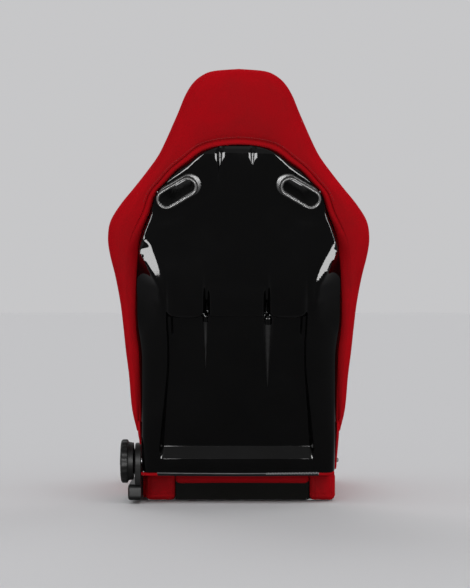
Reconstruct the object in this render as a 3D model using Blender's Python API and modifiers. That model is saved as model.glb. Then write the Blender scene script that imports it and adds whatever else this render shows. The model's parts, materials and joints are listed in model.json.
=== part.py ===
"""Reclining bucket seat: tubular frames, foam and cloth pads, a gloss rear shell with two harness slots, and a
rotary recliner with a hand dial on the occupant's left.

Frame: metres, +Z up, the occupant faces -Y, +X is the occupant's left. The origin is under the middle of the seat.
The backrest is modelled in its own frame, on an empty at the recline hinge: X across, Y to the rear, normal to the
backrest, Z up along the backrest.
"""
import math

import bmesh
import bpy
from mathutils import Matrix, Vector

# Placing and overall sizes
HINGE_Y = 0.1146
HINGE_Z = 0.092
RECLINE = math.radians(18.0)
GAP = 0.0003

# Heights along the backrest: the slots' place carries the shoulders, the neck and the head
SLOT_W = 0.6170
BACK_LOW = 0.075
SHOULDER_W = SLOT_W - 0.111
SHELL_TOP = SLOT_W + 0.0842
HEAD_LOW = SLOT_W + 0.083
HEAD_TOP = SLOT_W + 0.241

# Backrest frame
TUBE_RADIUS = 0.011
TUBE_WALL = 0.002
WRAP_FLANGE = TUBE_RADIUS + GAP
HOOP_HALF = 0.1737
HOOP_LOW = 0.030
HOOP_SHOULDER = SLOT_W - 0.117
HOOP_NECK = 0.062
HOOP_TOP = HEAD_TOP - 0.053
LOWER_TUBE_W = 0.060
UPPER_TUBE_W = 0.400
WIRE_RADIUS = 0.002
BACK_SPRING_W = (0.180, 0.290)
SPRING_WAVES = 8
SPRING_SWING = 0.018

# Backrest outline, half of it: place across and height of the cloth's outer edge, then of the edge where the cloth
# meets the rear shell. Up to the shoulders the places are measured outwards from the frame's leg, and the heights
# are shares of the way from the lower end to the shoulders
SIDE_OUTLINE = (
    (0.0428, 0.0000, 0.0373, 0.0000),
    (0.0523, 0.1160, 0.0368, 0.1160),
    (0.0573, 0.2900, 0.0368, 0.2900),
    (0.0629, 0.4200, 0.0378, 0.4200),
    (0.0673, 0.5452, 0.0428, 0.5452),
    (0.0726, 0.6705, 0.0433, 0.6705),
    (0.0818, 0.8005, 0.0413, 0.7773),
    (0.0926, 0.9165, 0.0378, 0.8933),
    (0.0961, 1.0000, 0.0328, 0.9861),
)
# From the shoulders over the head the heights are measured from the slots
UPPER_OUTLINE = (
    (0.2640, -0.077, 0.1960, -0.082),
    (0.2430, -0.042, 0.1820, -0.048),
    (0.2155, -0.0075, 0.1705, -0.008),
    (0.1880, 0.027, 0.1500, 0.018),
    (0.1636, 0.061, 0.1260, 0.0420),
    (0.1466, 0.095, 0.1030, 0.057),
    (0.1320, 0.1285, 0.0855, 0.067),
    (0.1212, 0.1536, 0.0700, 0.074),
    (0.1076, 0.187, 0.0540, 0.079),
    (0.0920, 0.212, 0.0380, 0.082),
    (0.0725, 0.2285, 0.0250, 0.0842),
    (0.0490, 0.237, 0.0125, 0.0848),
    (0.0, 0.241, 0.0, 0.085),
)
WRAP_DEPTH = 0.030
WRAP_LIP = 0.020
LIP_SHARE = 0.10

# Rear shell
SHELL_WALL = 0.003
SHELL_BOTTOM = -0.010
SHELL_LOW_OUT = 0.0348
SHELL_EDGE = 0.0155
SHELL_GAP = 0.0009
SHELL_DEPTH = (
    (SHELL_BOTTOM, 0.040),
    (0.05, 0.043),
    (0.35, 0.058),
    (SLOT_W - 0.167, 0.066),
    (SLOT_W - 0.077, 0.065),
    (SLOT_W + 0.013, 0.056),
    (SHELL_TOP, 0.044),
)
CORNER_LOW = 40.0
CORNER_HIGH = 8.0
CORNER_CHANGE = (0.045, 0.16)
SHELL_SHARES = (0.0, 0.10, 0.20, 0.265, 0.31, 0.40, 0.50, 0.59, 0.655, 0.70, 0.73, 0.80, 0.87, 0.925, 0.96, 0.985, 1.0)
RECESS_HALF = 0.142
RECESS_LOW = 0.040
RECESS_TOP = 0.345
RECESS_DEPTH = 0.018
RECESS_RAMP = 0.008
BLOCK_HALF = 0.057
BLOCK_TOP = 0.430
BLOCK_DEPTH = 0.006

# Harness slots
SLOT_X = 0.1265
SLOT_TILT = math.radians(31.0)
SLOT_LENGTH = 0.080
SLOT_WIDTH = 0.030
SLEEVE_WALL = 0.002
BEZEL_RADIUS = 0.005
SLOT_LAND = 0.0505
LAND_MARGIN = 0.024
SLEEVE_FRONT = -0.0465
FLANGE_DEPTH = 0.006

# Hinge side plates, from the middle outwards
PLATE = 0.004
BACK_PLATE_X = HOOP_HALF + TUBE_RADIUS + GAP
GEAR_WIDTH = 0.0047
BASE_PLATE_X = BACK_PLATE_X + PLATE + 2 * GEAR_WIDTH + 3 * GAP
HUB_RADIUS = 0.028
SHAFT_RADIUS = 0.006
PIVOT_RADIUS = 0.006

# Recliner dial
COVER_INNER = BASE_PLATE_X + PLATE + 0.0082
COVER_OUTER = COVER_INNER + 0.0125
FOOT_OUTER = COVER_INNER + 0.0280
DIAL_RADIUS = 0.0475
DIAL_INNER = COVER_OUTER + 0.0010
DIAL_STEP = DIAL_INNER + 0.0170
DIAL_OUTER = DIAL_STEP + 0.0155
CAP_RADIUS = 0.016
COVER_FRONT = 0.175
FOOT_LOW = 0.008
FOOT_TOP = 0.042

# Front pads of the backrest: depths are forward of the frame's plane
PAD_BACK = WRAP_FLANGE + GAP
INSERT_HALF = 0.125
PAD_SEAM = 0.002
INSERT_LOW = 0.040
BOLSTER_LOW = 0.062
INSERT_SPLIT = UPPER_TUBE_W
INSERT_DEPTH = 0.045
HEAD_DEPTH = 0.052
HEAD_DROPS = (0.053, 0.028, 0.012, 0.004)
BOLSTER_DEPTH = 0.105

# Base, distances forward of the hinge
REAR = 0.040
RAIL_REAR = 0.0628
RAIL_FRONT = 0.4650
RAIL_INNER = BASE_PLATE_X - 0.0493
RAIL_SHEET = 0.003
RAIL_HEIGHT = 0.040
MOUNT_X = BASE_PLATE_X - 0.0293
MOUNT_REAR = 0.120
MOUNT_FRONT = 0.400
MOUNT_HOLE = 0.0045
NUT_ACROSS = 0.013
NUT_HEIGHT = 0.0068
REAR_TUBE = 0.0950
FRONT_TUBE = 0.4530
SEAT_SPRING_X = (-0.080, 0.0, 0.080)
BOLT_RADIUS = 0.004
BOLT_D = (0.095, 0.145)
BOLT_Z = 0.022
BASE_SHIFT = -0.002
PANEL_HALF = 0.1405
PANEL_LOW = 0.003
PANEL_TOP = 0.0415
REAR_TOP = 0.058
CORNER_HALF = BASE_PLATE_X + PLATE - GAP
SEAT_HALF = 0.130
SEAT_FRONT = 0.505
SEAT_TOP_REAR = 0.132
SEAT_TOP_FRONT = 0.150
THIGH_TOP = 0.205
THIGH_REAR = 0.125
THIGH_OUT_FRONT = COVER_INNER + 0.0105
THIGH_TAIL = 0.075


def clear_scene():
    for item in list(bpy.data.objects):
        bpy.data.objects.remove(item, do_unlink=True)


def new_collection(name):
    group = bpy.data.collections.new(name)
    bpy.context.scene.collection.children.link(group)
    return group


def new_material(name, color, roughness, metallic=0.0):
    material = bpy.data.materials.new(name)
    material.use_nodes = True
    shader = material.node_tree.nodes["Principled BSDF"]
    shader.inputs["Base Color"].default_value = (*color, 1.0)
    shader.inputs["Roughness"].default_value = roughness
    shader.inputs["Metallic"].default_value = metallic
    material.diffuse_color = (*color, 1.0)
    return material


clear_scene()
PARTS = new_collection("racing_seat")
CUTTERS = new_collection("cutters")
RED_CLOTH = new_material("red_cloth", (0.55, 0.006, 0.010), 0.9)
BLACK_CLOTH = new_material("black_cloth", (0.02, 0.02, 0.021), 0.9)
GLOSS_BLACK = new_material("gloss_black", (0.008, 0.008, 0.009), 0.08)
SATIN_BLACK = new_material("satin_black", (0.03, 0.03, 0.03), 0.4)
GREY_TRIM = new_material("grey_trim", (0.18, 0.18, 0.18), 0.4)
FRAME_PAINT = new_material("frame_paint", (0.02, 0.02, 0.022), 0.45, 0.2)
STEEL = new_material("steel", (0.45, 0.45, 0.46), 0.35, 1.0)


def new_empty(name, location, angle):
    empty = bpy.data.objects.new(name, None)
    empty.location = location
    empty.rotation_euler = (angle, 0.0, 0.0)
    PARTS.objects.link(empty)
    return empty


BACK = new_empty("backrest_pivot", (0.0, HINGE_Y, HINGE_Z), -RECLINE)
DIAL = new_empty("dial_pivot", (0.0, HINGE_Y, HINGE_Z), 0.0)
HINGE = new_empty("hinge_datum", (0.0, HINGE_Y, HINGE_Z), 0.0)
BASE = new_empty("base_datum", (0.0, HINGE_Y, 0.0), 0.0)


def add_object(name, data, material, parent, group=None):
    item = bpy.data.objects.new(name, data)
    (group or PARTS).objects.link(item)
    item.parent = parent
    if material:
        data.materials.append(material)
    return item


def smooth(item, angle=40.0):
    item.data.shade_smooth()
    item.data.set_sharp_from_angle(angle=math.radians(angle))


def mesh_from(bm, name):
    bmesh.ops.recalc_face_normals(bm, faces=bm.faces)
    mesh = bpy.data.meshes.new(name)
    bm.to_mesh(mesh)
    bm.free()
    return mesh


def add_bevel(item, width, segments=1):
    bevel = item.modifiers.new("edges", "BEVEL")
    bevel.width = width
    bevel.segments = segments
    bevel.limit_method = "ANGLE"


def add_subdivision(item, levels=1):
    soft = item.modifiers.new("soft", "SUBSURF")
    soft.levels = levels
    soft.render_levels = levels


def cut(item, cutter):
    boolean = item.modifiers.new("cut_" + cutter.name, "BOOLEAN")
    boolean.operation = "DIFFERENCE"
    boolean.solver = "EXACT"
    boolean.object = cutter


def as_cutter(item):
    for group in list(item.users_collection):
        group.objects.unlink(item)
    CUTTERS.objects.link(item)
    item.hide_render = True
    item.display_type = "WIRE"
    return item


def box(name, low, high, material, parent, edge=0.0, segments=1):
    bm = bmesh.new()
    bmesh.ops.create_cube(bm, size=1.0)
    size = Vector(high) - Vector(low)
    middle = (Vector(high) + Vector(low)) / 2
    bmesh.ops.scale(bm, vec=size, verts=bm.verts)
    item = add_object(name, mesh_from(bm, name), material, parent)
    item.location = middle
    if edge:
        add_bevel(item, edge, segments)
    return item


def cylinder_x(name, radius, x_low, x_high, centre, material, parent, sides=24, edge=0.0):
    """A cylinder along X; centre is its (y, z) in the parent's frame."""
    bm = bmesh.new()
    bmesh.ops.create_cone(bm, cap_ends=True, segments=sides, radius1=radius, radius2=radius, depth=x_high - x_low)
    bmesh.ops.rotate(bm, verts=bm.verts, matrix=Matrix.Rotation(math.pi / 2, 3, "Y"))
    item = add_object(name, mesh_from(bm, name), material, parent)
    item.location = ((x_low + x_high) / 2, *centre)
    if edge:
        add_bevel(item, edge)
    smooth(item)
    return item


def cylinder_z(name, radius, z_low, z_high, place, material, parent, sides=24):
    bm = bmesh.new()
    bmesh.ops.create_cone(bm, cap_ends=True, segments=sides, radius1=radius, radius2=radius, depth=z_high - z_low)
    item = add_object(name, mesh_from(bm, name), material, parent)
    item.location = (*place, (z_low + z_high) / 2)
    smooth(item)
    return item


def turned(name, profile, material, parent, steps=32):
    """A turned piece about X: profile is (radius, x) pairs, outer face first."""
    bm = bmesh.new()
    verts = [bm.verts.new((radius, 0.0, x)) for radius, x in profile]
    for first, second in zip(verts, verts[1:]):
        bm.edges.new((first, second))
    mesh = bpy.data.meshes.new(name)
    bm.to_mesh(mesh)
    bm.free()
    item = add_object(name, mesh, material, parent)
    item.rotation_euler = (0.0, math.pi / 2, 0.0)
    screw = item.modifiers.new("turn", "SCREW")
    screw.steps = steps
    screw.render_steps = steps
    screw.use_merge_vertices = True
    screw.merge_threshold = 0.0001
    smooth(item)
    return item


def tube(name, points, radius, material, parent, resolution=2, closed=False):
    curve = bpy.data.curves.new(name, "CURVE")
    curve.dimensions = "3D"
    curve.bevel_depth = radius
    curve.bevel_resolution = resolution
    curve.use_fill_caps = not closed
    spline = curve.splines.new("POLY")
    spline.points.add(len(points) - 1)
    for point, place in zip(spline.points, points):
        point.co = (*place, 1.0)
    spline.use_cyclic_u = closed
    return add_object(name, curve, material, parent)


def pipe(name, points, material, parent, sides=12):
    """An open-ended frame tube whose middle line lies in a plane across the parent's Y."""
    normal = Vector((0.0, 1.0, 0.0))
    line = [Vector(point) for point in points]
    rings = {TUBE_RADIUS: [], TUBE_RADIUS - TUBE_WALL: []}
    for before, here, after in zip([line[0], *line], line, [*line[1:], line[-1]]):
        across = (after - before).normalized().cross(normal)
        for radius, made in rings.items():
            made.append([here + radius * (across * c + normal * v) for c, v in circle(1.0, sides=sides)])
    outer, inner = rings.values()
    item = add_object(name, loft_mesh(name, outer + inner[::-1], True), material, parent)
    smooth(item)
    return item


def plate(name, outlines, thickness, material, parent, x_middle):
    """A flat plate across X: outlines are closed loops of (y, z); inner loops are holes."""
    curve = bpy.data.curves.new(name, "CURVE")
    curve.dimensions = "2D"
    curve.fill_mode = "BOTH"
    curve.extrude = thickness / 2
    for loop in outlines:
        spline = curve.splines.new("POLY")
        spline.points.add(len(loop) - 1)
        for point, (across, up) in zip(spline.points, loop):
            point.co = (across, up, 0.0, 1.0)
        spline.use_cyclic_u = True
    item = add_object(name, curve, material, parent)
    item.matrix_local = Matrix.Translation((x_middle, 0.0, 0.0)) @ Matrix(
        ((0.0, 0.0, 1.0, 0.0), (1.0, 0.0, 0.0, 0.0), (0.0, 1.0, 0.0, 0.0), (0.0, 0.0, 0.0, 1.0))
    )
    return item


def curve_to_mesh(item):
    """The curve object as a mesh object of the same name and place, with its caps welded."""
    bpy.context.view_layer.update()
    shape = item.evaluated_get(bpy.context.evaluated_depsgraph_get())
    mesh = bpy.data.meshes.new_from_object(shape)
    bm = bmesh.new()
    bm.from_mesh(mesh)
    bmesh.ops.remove_doubles(bm, verts=bm.verts, dist=0.00001)
    bm.to_mesh(mesh)
    bm.free()
    name, parent, place, material = item.name, item.parent, item.matrix_world.copy(), item.data.materials[0]
    bpy.data.objects.remove(item, do_unlink=True)
    mesh.materials.clear()
    solid = add_object(name, mesh, material, parent)
    solid.matrix_world = place
    return solid


def loft(name, rings, material, parent, cyclic=False):
    """A closed solid through rings of points, all of the same count; its ends are capped unless it is cyclic."""
    return add_object(name, loft_mesh(name, rings, cyclic), material, parent)


def soft_pad(name, rings, material, parent):
    """A lofted pad with rounded faces and a flat, sharp-edged back, from each ring's last point to its first."""
    mesh = loft_mesh(name, rings, False)
    count = len(rings[0])
    back = (0, count - 1)
    flat = {index + count * ring for ring in range(len(rings)) for index in back}
    ends = {index + count * ring for ring in (0, len(rings) - 1) for index in back}
    creases = mesh.attributes.new("crease_edge", "FLOAT", "EDGE")
    for edge in mesh.edges:
        first, second = edge.vertices
        along = first in flat and second in flat and abs(first - second) == count
        across = first in ends and second in ends
        creases.data[edge.index].value = 1.0 if along or across else 0.0
    pad = add_object(name, mesh, material, parent)
    add_subdivision(pad)
    smooth(pad, 60)
    return pad


def loft_mesh(name, rings, cyclic):
    bm = bmesh.new()
    rows = [[bm.verts.new(point) for point in ring] for ring in rings]
    count = len(rows[0])
    pairs = list(zip(rows, rows[1:])) + ([(rows[-1], rows[0])] if cyclic else [])
    for low, high in pairs:
        for i in range(count):
            j = (i + 1) % count
            bm.faces.new((low[i], low[j], high[j], high[i]))
    if not cyclic:
        bm.faces.new(list(reversed(rows[0])))
        bm.faces.new(rows[-1])
    return mesh_from(bm, name)


def circle(radius, centre=(0.0, 0.0), sides=24):
    return [
        (centre[0] + radius * math.cos(math.tau * i / sides), centre[1] + radius * math.sin(math.tau * i / sides))
        for i in range(sides)
    ]


def arc(centre, radius, start, end, steps):
    """Points of an arc in degrees, both ends included."""
    return [
        (
            centre[0] + radius * math.cos(math.radians(start + (end - start) * i / steps)),
            centre[1] + radius * math.sin(math.radians(start + (end - start) * i / steps)),
        )
        for i in range(steps + 1)
    ]


def catmull(points, steps):
    """Points of a smooth curve through the given ones, with steps pieces for each span."""
    vectors = [Vector(point) for point in points]
    ends = [2 * vectors[0] - vectors[1], *vectors, 2 * vectors[-1] - vectors[-2]]
    result = []
    for a, b, c, d in zip(ends, ends[1:], ends[2:], ends[3:]):
        for i in range(steps):
            t = i / steps
            result.append(
                (2 * b + (c - a) * t + (2 * a - 5 * b + 4 * c - d) * t**2 + (3 * b - a - 3 * c + d) * t**3) / 2
            )
    return [*result, vectors[-1]]


def step_between(low, high, value):
    """0 below low, 1 above high and a smooth ramp between; low may be the larger one."""
    t = min(1.0, max(0.0, (value - low) / (high - low)))
    return t * t * (3 - 2 * t)


def read_table(table, value):
    """A smooth value between the table's (place, value) pairs."""
    for (low, first), (high, second) in zip(table, table[1:]):
        if value <= high:
            return first + (second - first) * step_between(low, high, value)
    return table[-1][1]


def linear(table, value):
    if value <= table[0][0]:
        return table[0][1]
    for (low, first), (high, second) in zip(table, table[1:]):
        if value <= high:
            return first + (second - first) * (value - low) / (high - low)
    return table[-1][1]


def outline_rows():
    """Both outlines with real heights, lower end to head."""
    rows = []
    for outer, outer_share, inner, inner_share in SIDE_OUTLINE:
        outer_w, inner_w = (BACK_LOW + share * (SHOULDER_W - BACK_LOW) for share in (outer_share, inner_share))
        rows.append((HOOP_HALF + outer, outer_w, HOOP_HALF + inner, inner_w))
    return rows + [(row[0], SLOT_W + row[1], row[2], SLOT_W + row[3]) for row in UPPER_OUTLINE]


STATIONS = [tuple(row) for row in catmull(outline_rows(), 2)]


def outer_half(w):
    """The cloth outline's half width at height w."""
    return linear([(row[1], row[0]) for row in STATIONS], w)


def shell_half(w):
    """The rear shell's half width at height w."""
    foot = [(SHELL_BOTTOM, HOOP_HALF + SHELL_LOW_OUT + SHELL_GAP)]
    return linear(foot + [(row[3], row[2]) for row in STATIONS], w) - SHELL_GAP


def slot_axis(side):
    return Vector((side * math.cos(SLOT_TILT), -math.sin(SLOT_TILT)))


def slot_distance(x, w):
    """Distance from a slot's middle line, the nearer slot of the two."""
    side = 1 if x >= 0 else -1
    from_middle = Vector((x - side * SLOT_X, w - SLOT_W))
    axis = slot_axis(side)
    half = (SLOT_LENGTH - SLOT_WIDTH) / 2
    along = max(-half, min(half, from_middle.dot(axis)))
    return (from_middle - along * axis).length


def shell_depth(x, w):
    """How far the rear shell's outer face lies behind the frame's plane."""
    half = shell_half(w)
    depth = read_table(SHELL_DEPTH, w)
    recess = (
        step_between(RECESS_HALF + RECESS_RAMP, RECESS_HALF, abs(x))
        * step_between(RECESS_LOW, RECESS_LOW + RECESS_RAMP, w)
        * step_between(RECESS_TOP + RECESS_RAMP, RECESS_TOP, w)
    )
    block = (
        step_between(BLOCK_HALF + RECESS_RAMP, BLOCK_HALF, abs(x))
        * step_between(RECESS_TOP, RECESS_TOP + RECESS_RAMP, w)
        * step_between(BLOCK_TOP + 0.15, BLOCK_TOP, w)
    )
    depth += BLOCK_DEPTH * block - RECESS_DEPTH * recess
    share = min(1.0, abs(x) / half)
    square = CORNER_LOW + (CORNER_HIGH - CORNER_LOW) * step_between(*CORNER_CHANGE, w)
    depth = SHELL_EDGE + (depth - SHELL_EDGE) * math.sqrt(max(0.0, 1 - share**square))
    reach = SLOT_WIDTH / 2 + LAND_MARGIN
    land = step_between(reach + 0.018, reach, slot_distance(x, w))
    return depth + (SLOT_LAND - depth) * land


def stadium(length, width, side, steps=8):
    """A slot's outline about (0, 0) in the backrest's plane, its long axis tilted as the slots are."""
    axis = slot_axis(side)
    across = Vector((-axis.y, axis.x))
    half = (length - width) / 2
    points = []
    for end, start in ((1, -90), (-1, 90)):
        for i in range(steps + 1):
            angle = math.radians(start + 180 * i / steps)
            points.append(
                axis * (end * half + width / 2 * math.cos(angle)) + across * (width / 2 * math.sin(angle))
            )
    return points


def slot_prism(name, length, width, side, depth_low, depth_high, material=None):
    place = Vector((side * SLOT_X, SLOT_W))
    outline = [place + point for point in stadium(length, width, side)]
    rings = [[(point.x, depth, point.y) for point in outline] for depth in (depth_low, depth_high)]
    return loft(name, rings, material, BACK)


def make_wrap():
    """The red border behind the frame: an angle section carried along the outline, over the head."""
    stations = STATIONS + [(-row[0], row[1], -row[2], row[3]) for row in reversed(STATIONS[:-1])]
    section = (
        (0.0, -WRAP_FLANGE),
        (0.10, -WRAP_FLANGE),
        (0.12, WRAP_FLANGE),
        (1.0, WRAP_FLANGE),
        (1.0, WRAP_LIP),
        (1.0 - LIP_SHARE, WRAP_DEPTH),
        (0.60, WRAP_DEPTH),
        (0.28, WRAP_DEPTH * 0.85),
        (0.08, WRAP_DEPTH * 0.45),
        (0.0, 0.0),
    )
    rings = []
    for outer_x, outer_w, inner_x, inner_w in stations:
        rings.append(
            [
                (outer_x + (inner_x - outer_x) * share, depth, outer_w + (inner_w - outer_w) * share)
                for share, depth in section
            ]
        )
    wrap = loft("back_wrap", rings, RED_CLOTH, BACK)
    smooth(wrap)


def make_shell():
    """The gloss shell: a height field over its outline, thickened, with the slots cut through."""
    shares = [-share for share in reversed(SHELL_SHARES[1:])] + list(SHELL_SHARES)
    ledge = [RECESS_TOP - 0.002, RECESS_TOP + RECESS_RAMP / 2, RECESS_TOP + RECESS_RAMP + 0.002]
    heights = [SHELL_BOTTOM, 0.015, RECESS_LOW - 0.002, RECESS_LOW + RECESS_RAMP + 0.002]
    heights += [0.10 + 0.045 * i for i in range(5)] + [0.320] + ledge
    upper = 18
    heights += [
        ledge[-1] + (SHELL_TOP - ledge[-1]) * math.sin(math.pi / 2 * (i + 1) / upper) for i in range(upper)
    ]
    bm = bmesh.new()
    grid = []
    for w in heights:
        row = []
        for share in shares:
            x = share * shell_half(w)
            row.append(bm.verts.new((x, shell_depth(x, w), w)))
        grid.append(row)
    for low, high in zip(grid, grid[1:]):
        for i in range(len(shares) - 1):
            bm.faces.new((low[i + 1], low[i], high[i], high[i + 1]))
    mesh = bpy.data.meshes.new("rear_shell")
    bm.to_mesh(mesh)
    bm.free()
    shell = add_object("rear_shell", mesh, GLOSS_BLACK, BACK)
    wall = shell.modifiers.new("wall", "SOLIDIFY")
    wall.thickness = SHELL_WALL
    wall.offset = -1.0
    smooth(shell)
    for side, word in ((1, "left"), (-1, "right")):
        size = 2 * (SLEEVE_WALL + 2 * GAP)
        cutter = slot_prism("shell_slot_" + word, SLOT_LENGTH + size, SLOT_WIDTH + size, side, 0.02, 0.08)
        cut(shell, as_cutter(cutter))
    low = SHELL_BOTTOM - GAP
    depth = shell_depth(0.0, SHELL_BOTTOM)
    box(
        "shell_trim_strip",
        (-0.178, depth - 0.012, low - 0.006),
        (0.178, depth + 0.001, low),
        GREY_TRIM,
        BACK,
        0.001,
    )


def make_harness_slots():
    """Each slot's front bezel, whose sleeve runs back to the shell, and its rear bezel."""
    for side, word in ((1, "left"), (-1, "right")):
        place = Vector((side * SLOT_X, SLOT_W))
        top = SLOT_LAND - 0.0005
        flange = 4 * BEZEL_RADIUS
        rings = []
        for grow, depth in (
            (flange, SLEEVE_FRONT - FLANGE_DEPTH),
            (flange, SLEEVE_FRONT),
            (2 * SLEEVE_WALL, SLEEVE_FRONT),
            (2 * SLEEVE_WALL, top),
        ):
            outline = stadium(SLOT_LENGTH + grow, SLOT_WIDTH + grow, side)
            rings.append([(place.x + p.x, depth, place.y + p.y) for p in outline])
        bezel = loft("harness_bezel_front_" + word, rings, SATIN_BLACK, BACK)
        hole = slot_prism("sleeve_hole_" + word, SLOT_LENGTH, SLOT_WIDTH, side, SLEEVE_FRONT - 0.02, top + 0.01)
        cut(bezel, as_cutter(hole))
        path = stadium(SLOT_LENGTH + 2 * BEZEL_RADIUS, SLOT_WIDTH + 2 * BEZEL_RADIUS, side, 7)
        depth = SLOT_LAND + BEZEL_RADIUS + GAP
        points = [(place.x + p.x, depth, place.y + p.y) for p in path]
        tube("harness_bezel_rear_" + word, points, BEZEL_RADIUS, SATIN_BLACK, BACK, 2, True)


def make_back_frame():
    half = [
        (HOOP_HALF, HOOP_LOW),
        (HOOP_HALF, (HOOP_LOW + HOOP_SHOULDER) / 2),
        (HOOP_HALF, HOOP_SHOULDER - 0.060),
        (HOOP_HALF, HOOP_SHOULDER),
        (0.148, HOOP_SHOULDER + 0.043),
        (0.105, HOOP_SHOULDER + 0.056),
        (0.074, HOOP_SHOULDER + 0.078),
        (HOOP_NECK, HOOP_SHOULDER + 0.130),
        (HOOP_NECK, HOOP_TOP - 0.060),
        (0.048, HOOP_TOP - 0.017),
        (0.020, HOOP_TOP - 0.001),
    ]
    points = half + [(-x, w) for x, w in reversed(half)]
    path = [(p[0], 0.0, p[1]) for p in catmull([(x, w) for x, w in points], 2)]
    pipe("back_frame_hoop", path, FRAME_PAINT, BACK)
    inner = HOOP_HALF - TUBE_RADIUS - GAP
    for name, w in (("back_lower_tube", LOWER_TUBE_W), ("back_upper_tube", UPPER_TUBE_W)):
        pipe(name, [(-inner, 0.0, w), (0.0, 0.0, w), (inner, 0.0, w)], FRAME_PAINT, BACK)
    reach = inner - WIRE_RADIUS
    for number, w in enumerate(BACK_SPRING_W, 1):
        count = SPRING_WAVES * 4
        path = []
        for i in range(count + 1):
            swing = SPRING_SWING * math.sin(math.tau * SPRING_WAVES * i / count)
            path.append((-reach + 2 * reach * i / count, 0.0, w + swing))
        tube(f"back_spring_{number}", path, WIRE_RADIUS, STEEL, BACK, 1)


def make_back_plates():
    """The plates welded to the hoop's lower ends, with the hole at the hinge."""
    hub = arc((0.0, 0.0), HUB_RADIUS, 150, 390, 10)
    arm = [(TUBE_RADIUS, 0.070), (TUBE_RADIUS, 0.150), (-TUBE_RADIUS, 0.150), (-TUBE_RADIUS, 0.060)]
    hole = circle(SHAFT_RADIUS + GAP)
    for side, word in ((1, "left"), (-1, "right")):
        middle = side * (BACK_PLATE_X + PLATE / 2)
        plate("back_hinge_plate_" + word, [hub + arm, hole], PLATE, FRAME_PAINT, BACK, middle)


def make_recliner():
    """Gear halves between the left plates, and the plain pivot between the right ones."""
    ring_low = BACK_PLATE_X + PLATE + GAP
    ring_high = ring_low + GEAR_WIDTH
    hole = SHAFT_RADIUS + GAP
    plate("recliner_ring_gear", [circle(HUB_RADIUS - 0.001), circle(hole)], GEAR_WIDTH, STEEL, BACK, (ring_low + ring_high) / 2)
    fixed_low = ring_high + GAP
    fixed_high = BASE_PLATE_X - GAP
    width = fixed_high - fixed_low
    plate("recliner_fixed_gear", [circle(HUB_RADIUS - 0.003), circle(hole)], width, STEEL, HINGE, (fixed_low + fixed_high) / 2)
    bush = fixed_high - ring_low
    plate("pivot_bush_right", [circle(0.013), circle(hole)], bush, STEEL, BACK, -(ring_low + fixed_high) / 2)
    head_low = BASE_PLATE_X + PLATE + GAP
    nut_high = BACK_PLATE_X - GAP
    profile = [
        (0.0, head_low + 0.009),
        (0.007, head_low + 0.0085),
        (0.011, head_low + 0.005),
        (0.011, head_low),
        (PIVOT_RADIUS, head_low),
        (PIVOT_RADIUS, nut_high - 0.014),
        (0.0, nut_high - 0.014),
    ]
    bolt = turned("pivot_bolt_right", profile, STEEL, BACK, 20)
    bolt.rotation_euler = (0.0, -math.pi / 2, 0.0)
    nut = [circle(0.0110, sides=6), circle(PIVOT_RADIUS + GAP, sides=20)]
    plate("pivot_nut_right", nut, 0.009, STEEL, BACK, -(nut_high - 0.0045))


def make_dial():
    inner = BACK_PLATE_X - 0.004
    cylinder_x("recliner_shaft", SHAFT_RADIUS, inner, DIAL_STEP, (0.0, 0.0), STEEL, DIAL, 20)
    bore = SHAFT_RADIUS + GAP
    seat = DIAL_STEP + GAP
    profile = [
        (0.0, DIAL_OUTER - 0.004),
        (CAP_RADIUS + GAP, DIAL_OUTER - 0.004),
        (CAP_RADIUS + GAP, DIAL_OUTER - 0.001),
        (DIAL_RADIUS - 0.012, DIAL_OUTER),
        (DIAL_RADIUS - 0.004, DIAL_OUTER - 0.002),
        (DIAL_RADIUS, DIAL_OUTER - 0.006),
        (DIAL_RADIUS, DIAL_STEP),
        (DIAL_RADIUS - 0.002, DIAL_STEP - 0.001),
        (DIAL_RADIUS - 0.003, DIAL_INNER + 0.003),
        (DIAL_RADIUS - 0.006, DIAL_INNER),
        (bore, DIAL_INNER),
        (bore, seat),
        (0.0, seat),
    ]
    turned("recliner_dial", profile, SATIN_BLACK, DIAL, 32)
    low = DIAL_OUTER - 0.004 + GAP
    cylinder_x("dial_cap", CAP_RADIUS, low, DIAL_OUTER - 0.0005, (0.0, 0.0), GREY_TRIM, DIAL, 24)


def make_covers():
    """The moulded cover round the dial's shaft and the foot that it stands on, both on the base."""
    foot_top = FOOT_TOP - HINGE_Z
    outline = [(-0.085, foot_top + GAP), (0.030, foot_top + GAP), *arc((0.0, 0.0), 0.040, -20, 150, 12)]
    outline += [(-0.080, -0.012)]
    hole = circle(SHAFT_RADIUS + 0.0015)
    thickness = COVER_OUTER - COVER_INNER
    middle = (COVER_OUTER + COVER_INNER) / 2
    cover = curve_to_mesh(plate("recliner_cover", [outline, hole], thickness, SATIN_BLACK, HINGE, middle))
    smooth(cover, 30)
    box(
        "recliner_lower_cover",
        (COVER_INNER, -COVER_FRONT, FOOT_LOW),
        (FOOT_OUTER, 0.018, FOOT_TOP),
        SATIN_BLACK,
        BASE,
        0.008,
        2,
    )


def pad_ring(x_in, x_out, w, front, crest, edge=0.35, back=PAD_BACK):
    """One section of a backrest pad at height w, from its inner to its outer side. Depths are forward."""
    width = x_out - x_in
    return [
        (x_in, -back, w),
        (x_in, -back - (front - back) * 0.75, w),
        (x_in + width * 0.10, -front, w),
        (x_in + width * 0.45, -(front + crest) / 2 - 0.004, w),
        (x_in + width * 0.72, -crest, w),
        (x_in + width * 0.94, -back - (crest - back) * 0.72, w),
        (x_out, -back - (crest - back) * edge, w),
        (x_out, -back, w),
    ]


def mirrored(rings):
    return [[(-x, y, z) for x, y, z in ring] for ring in rings]


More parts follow.
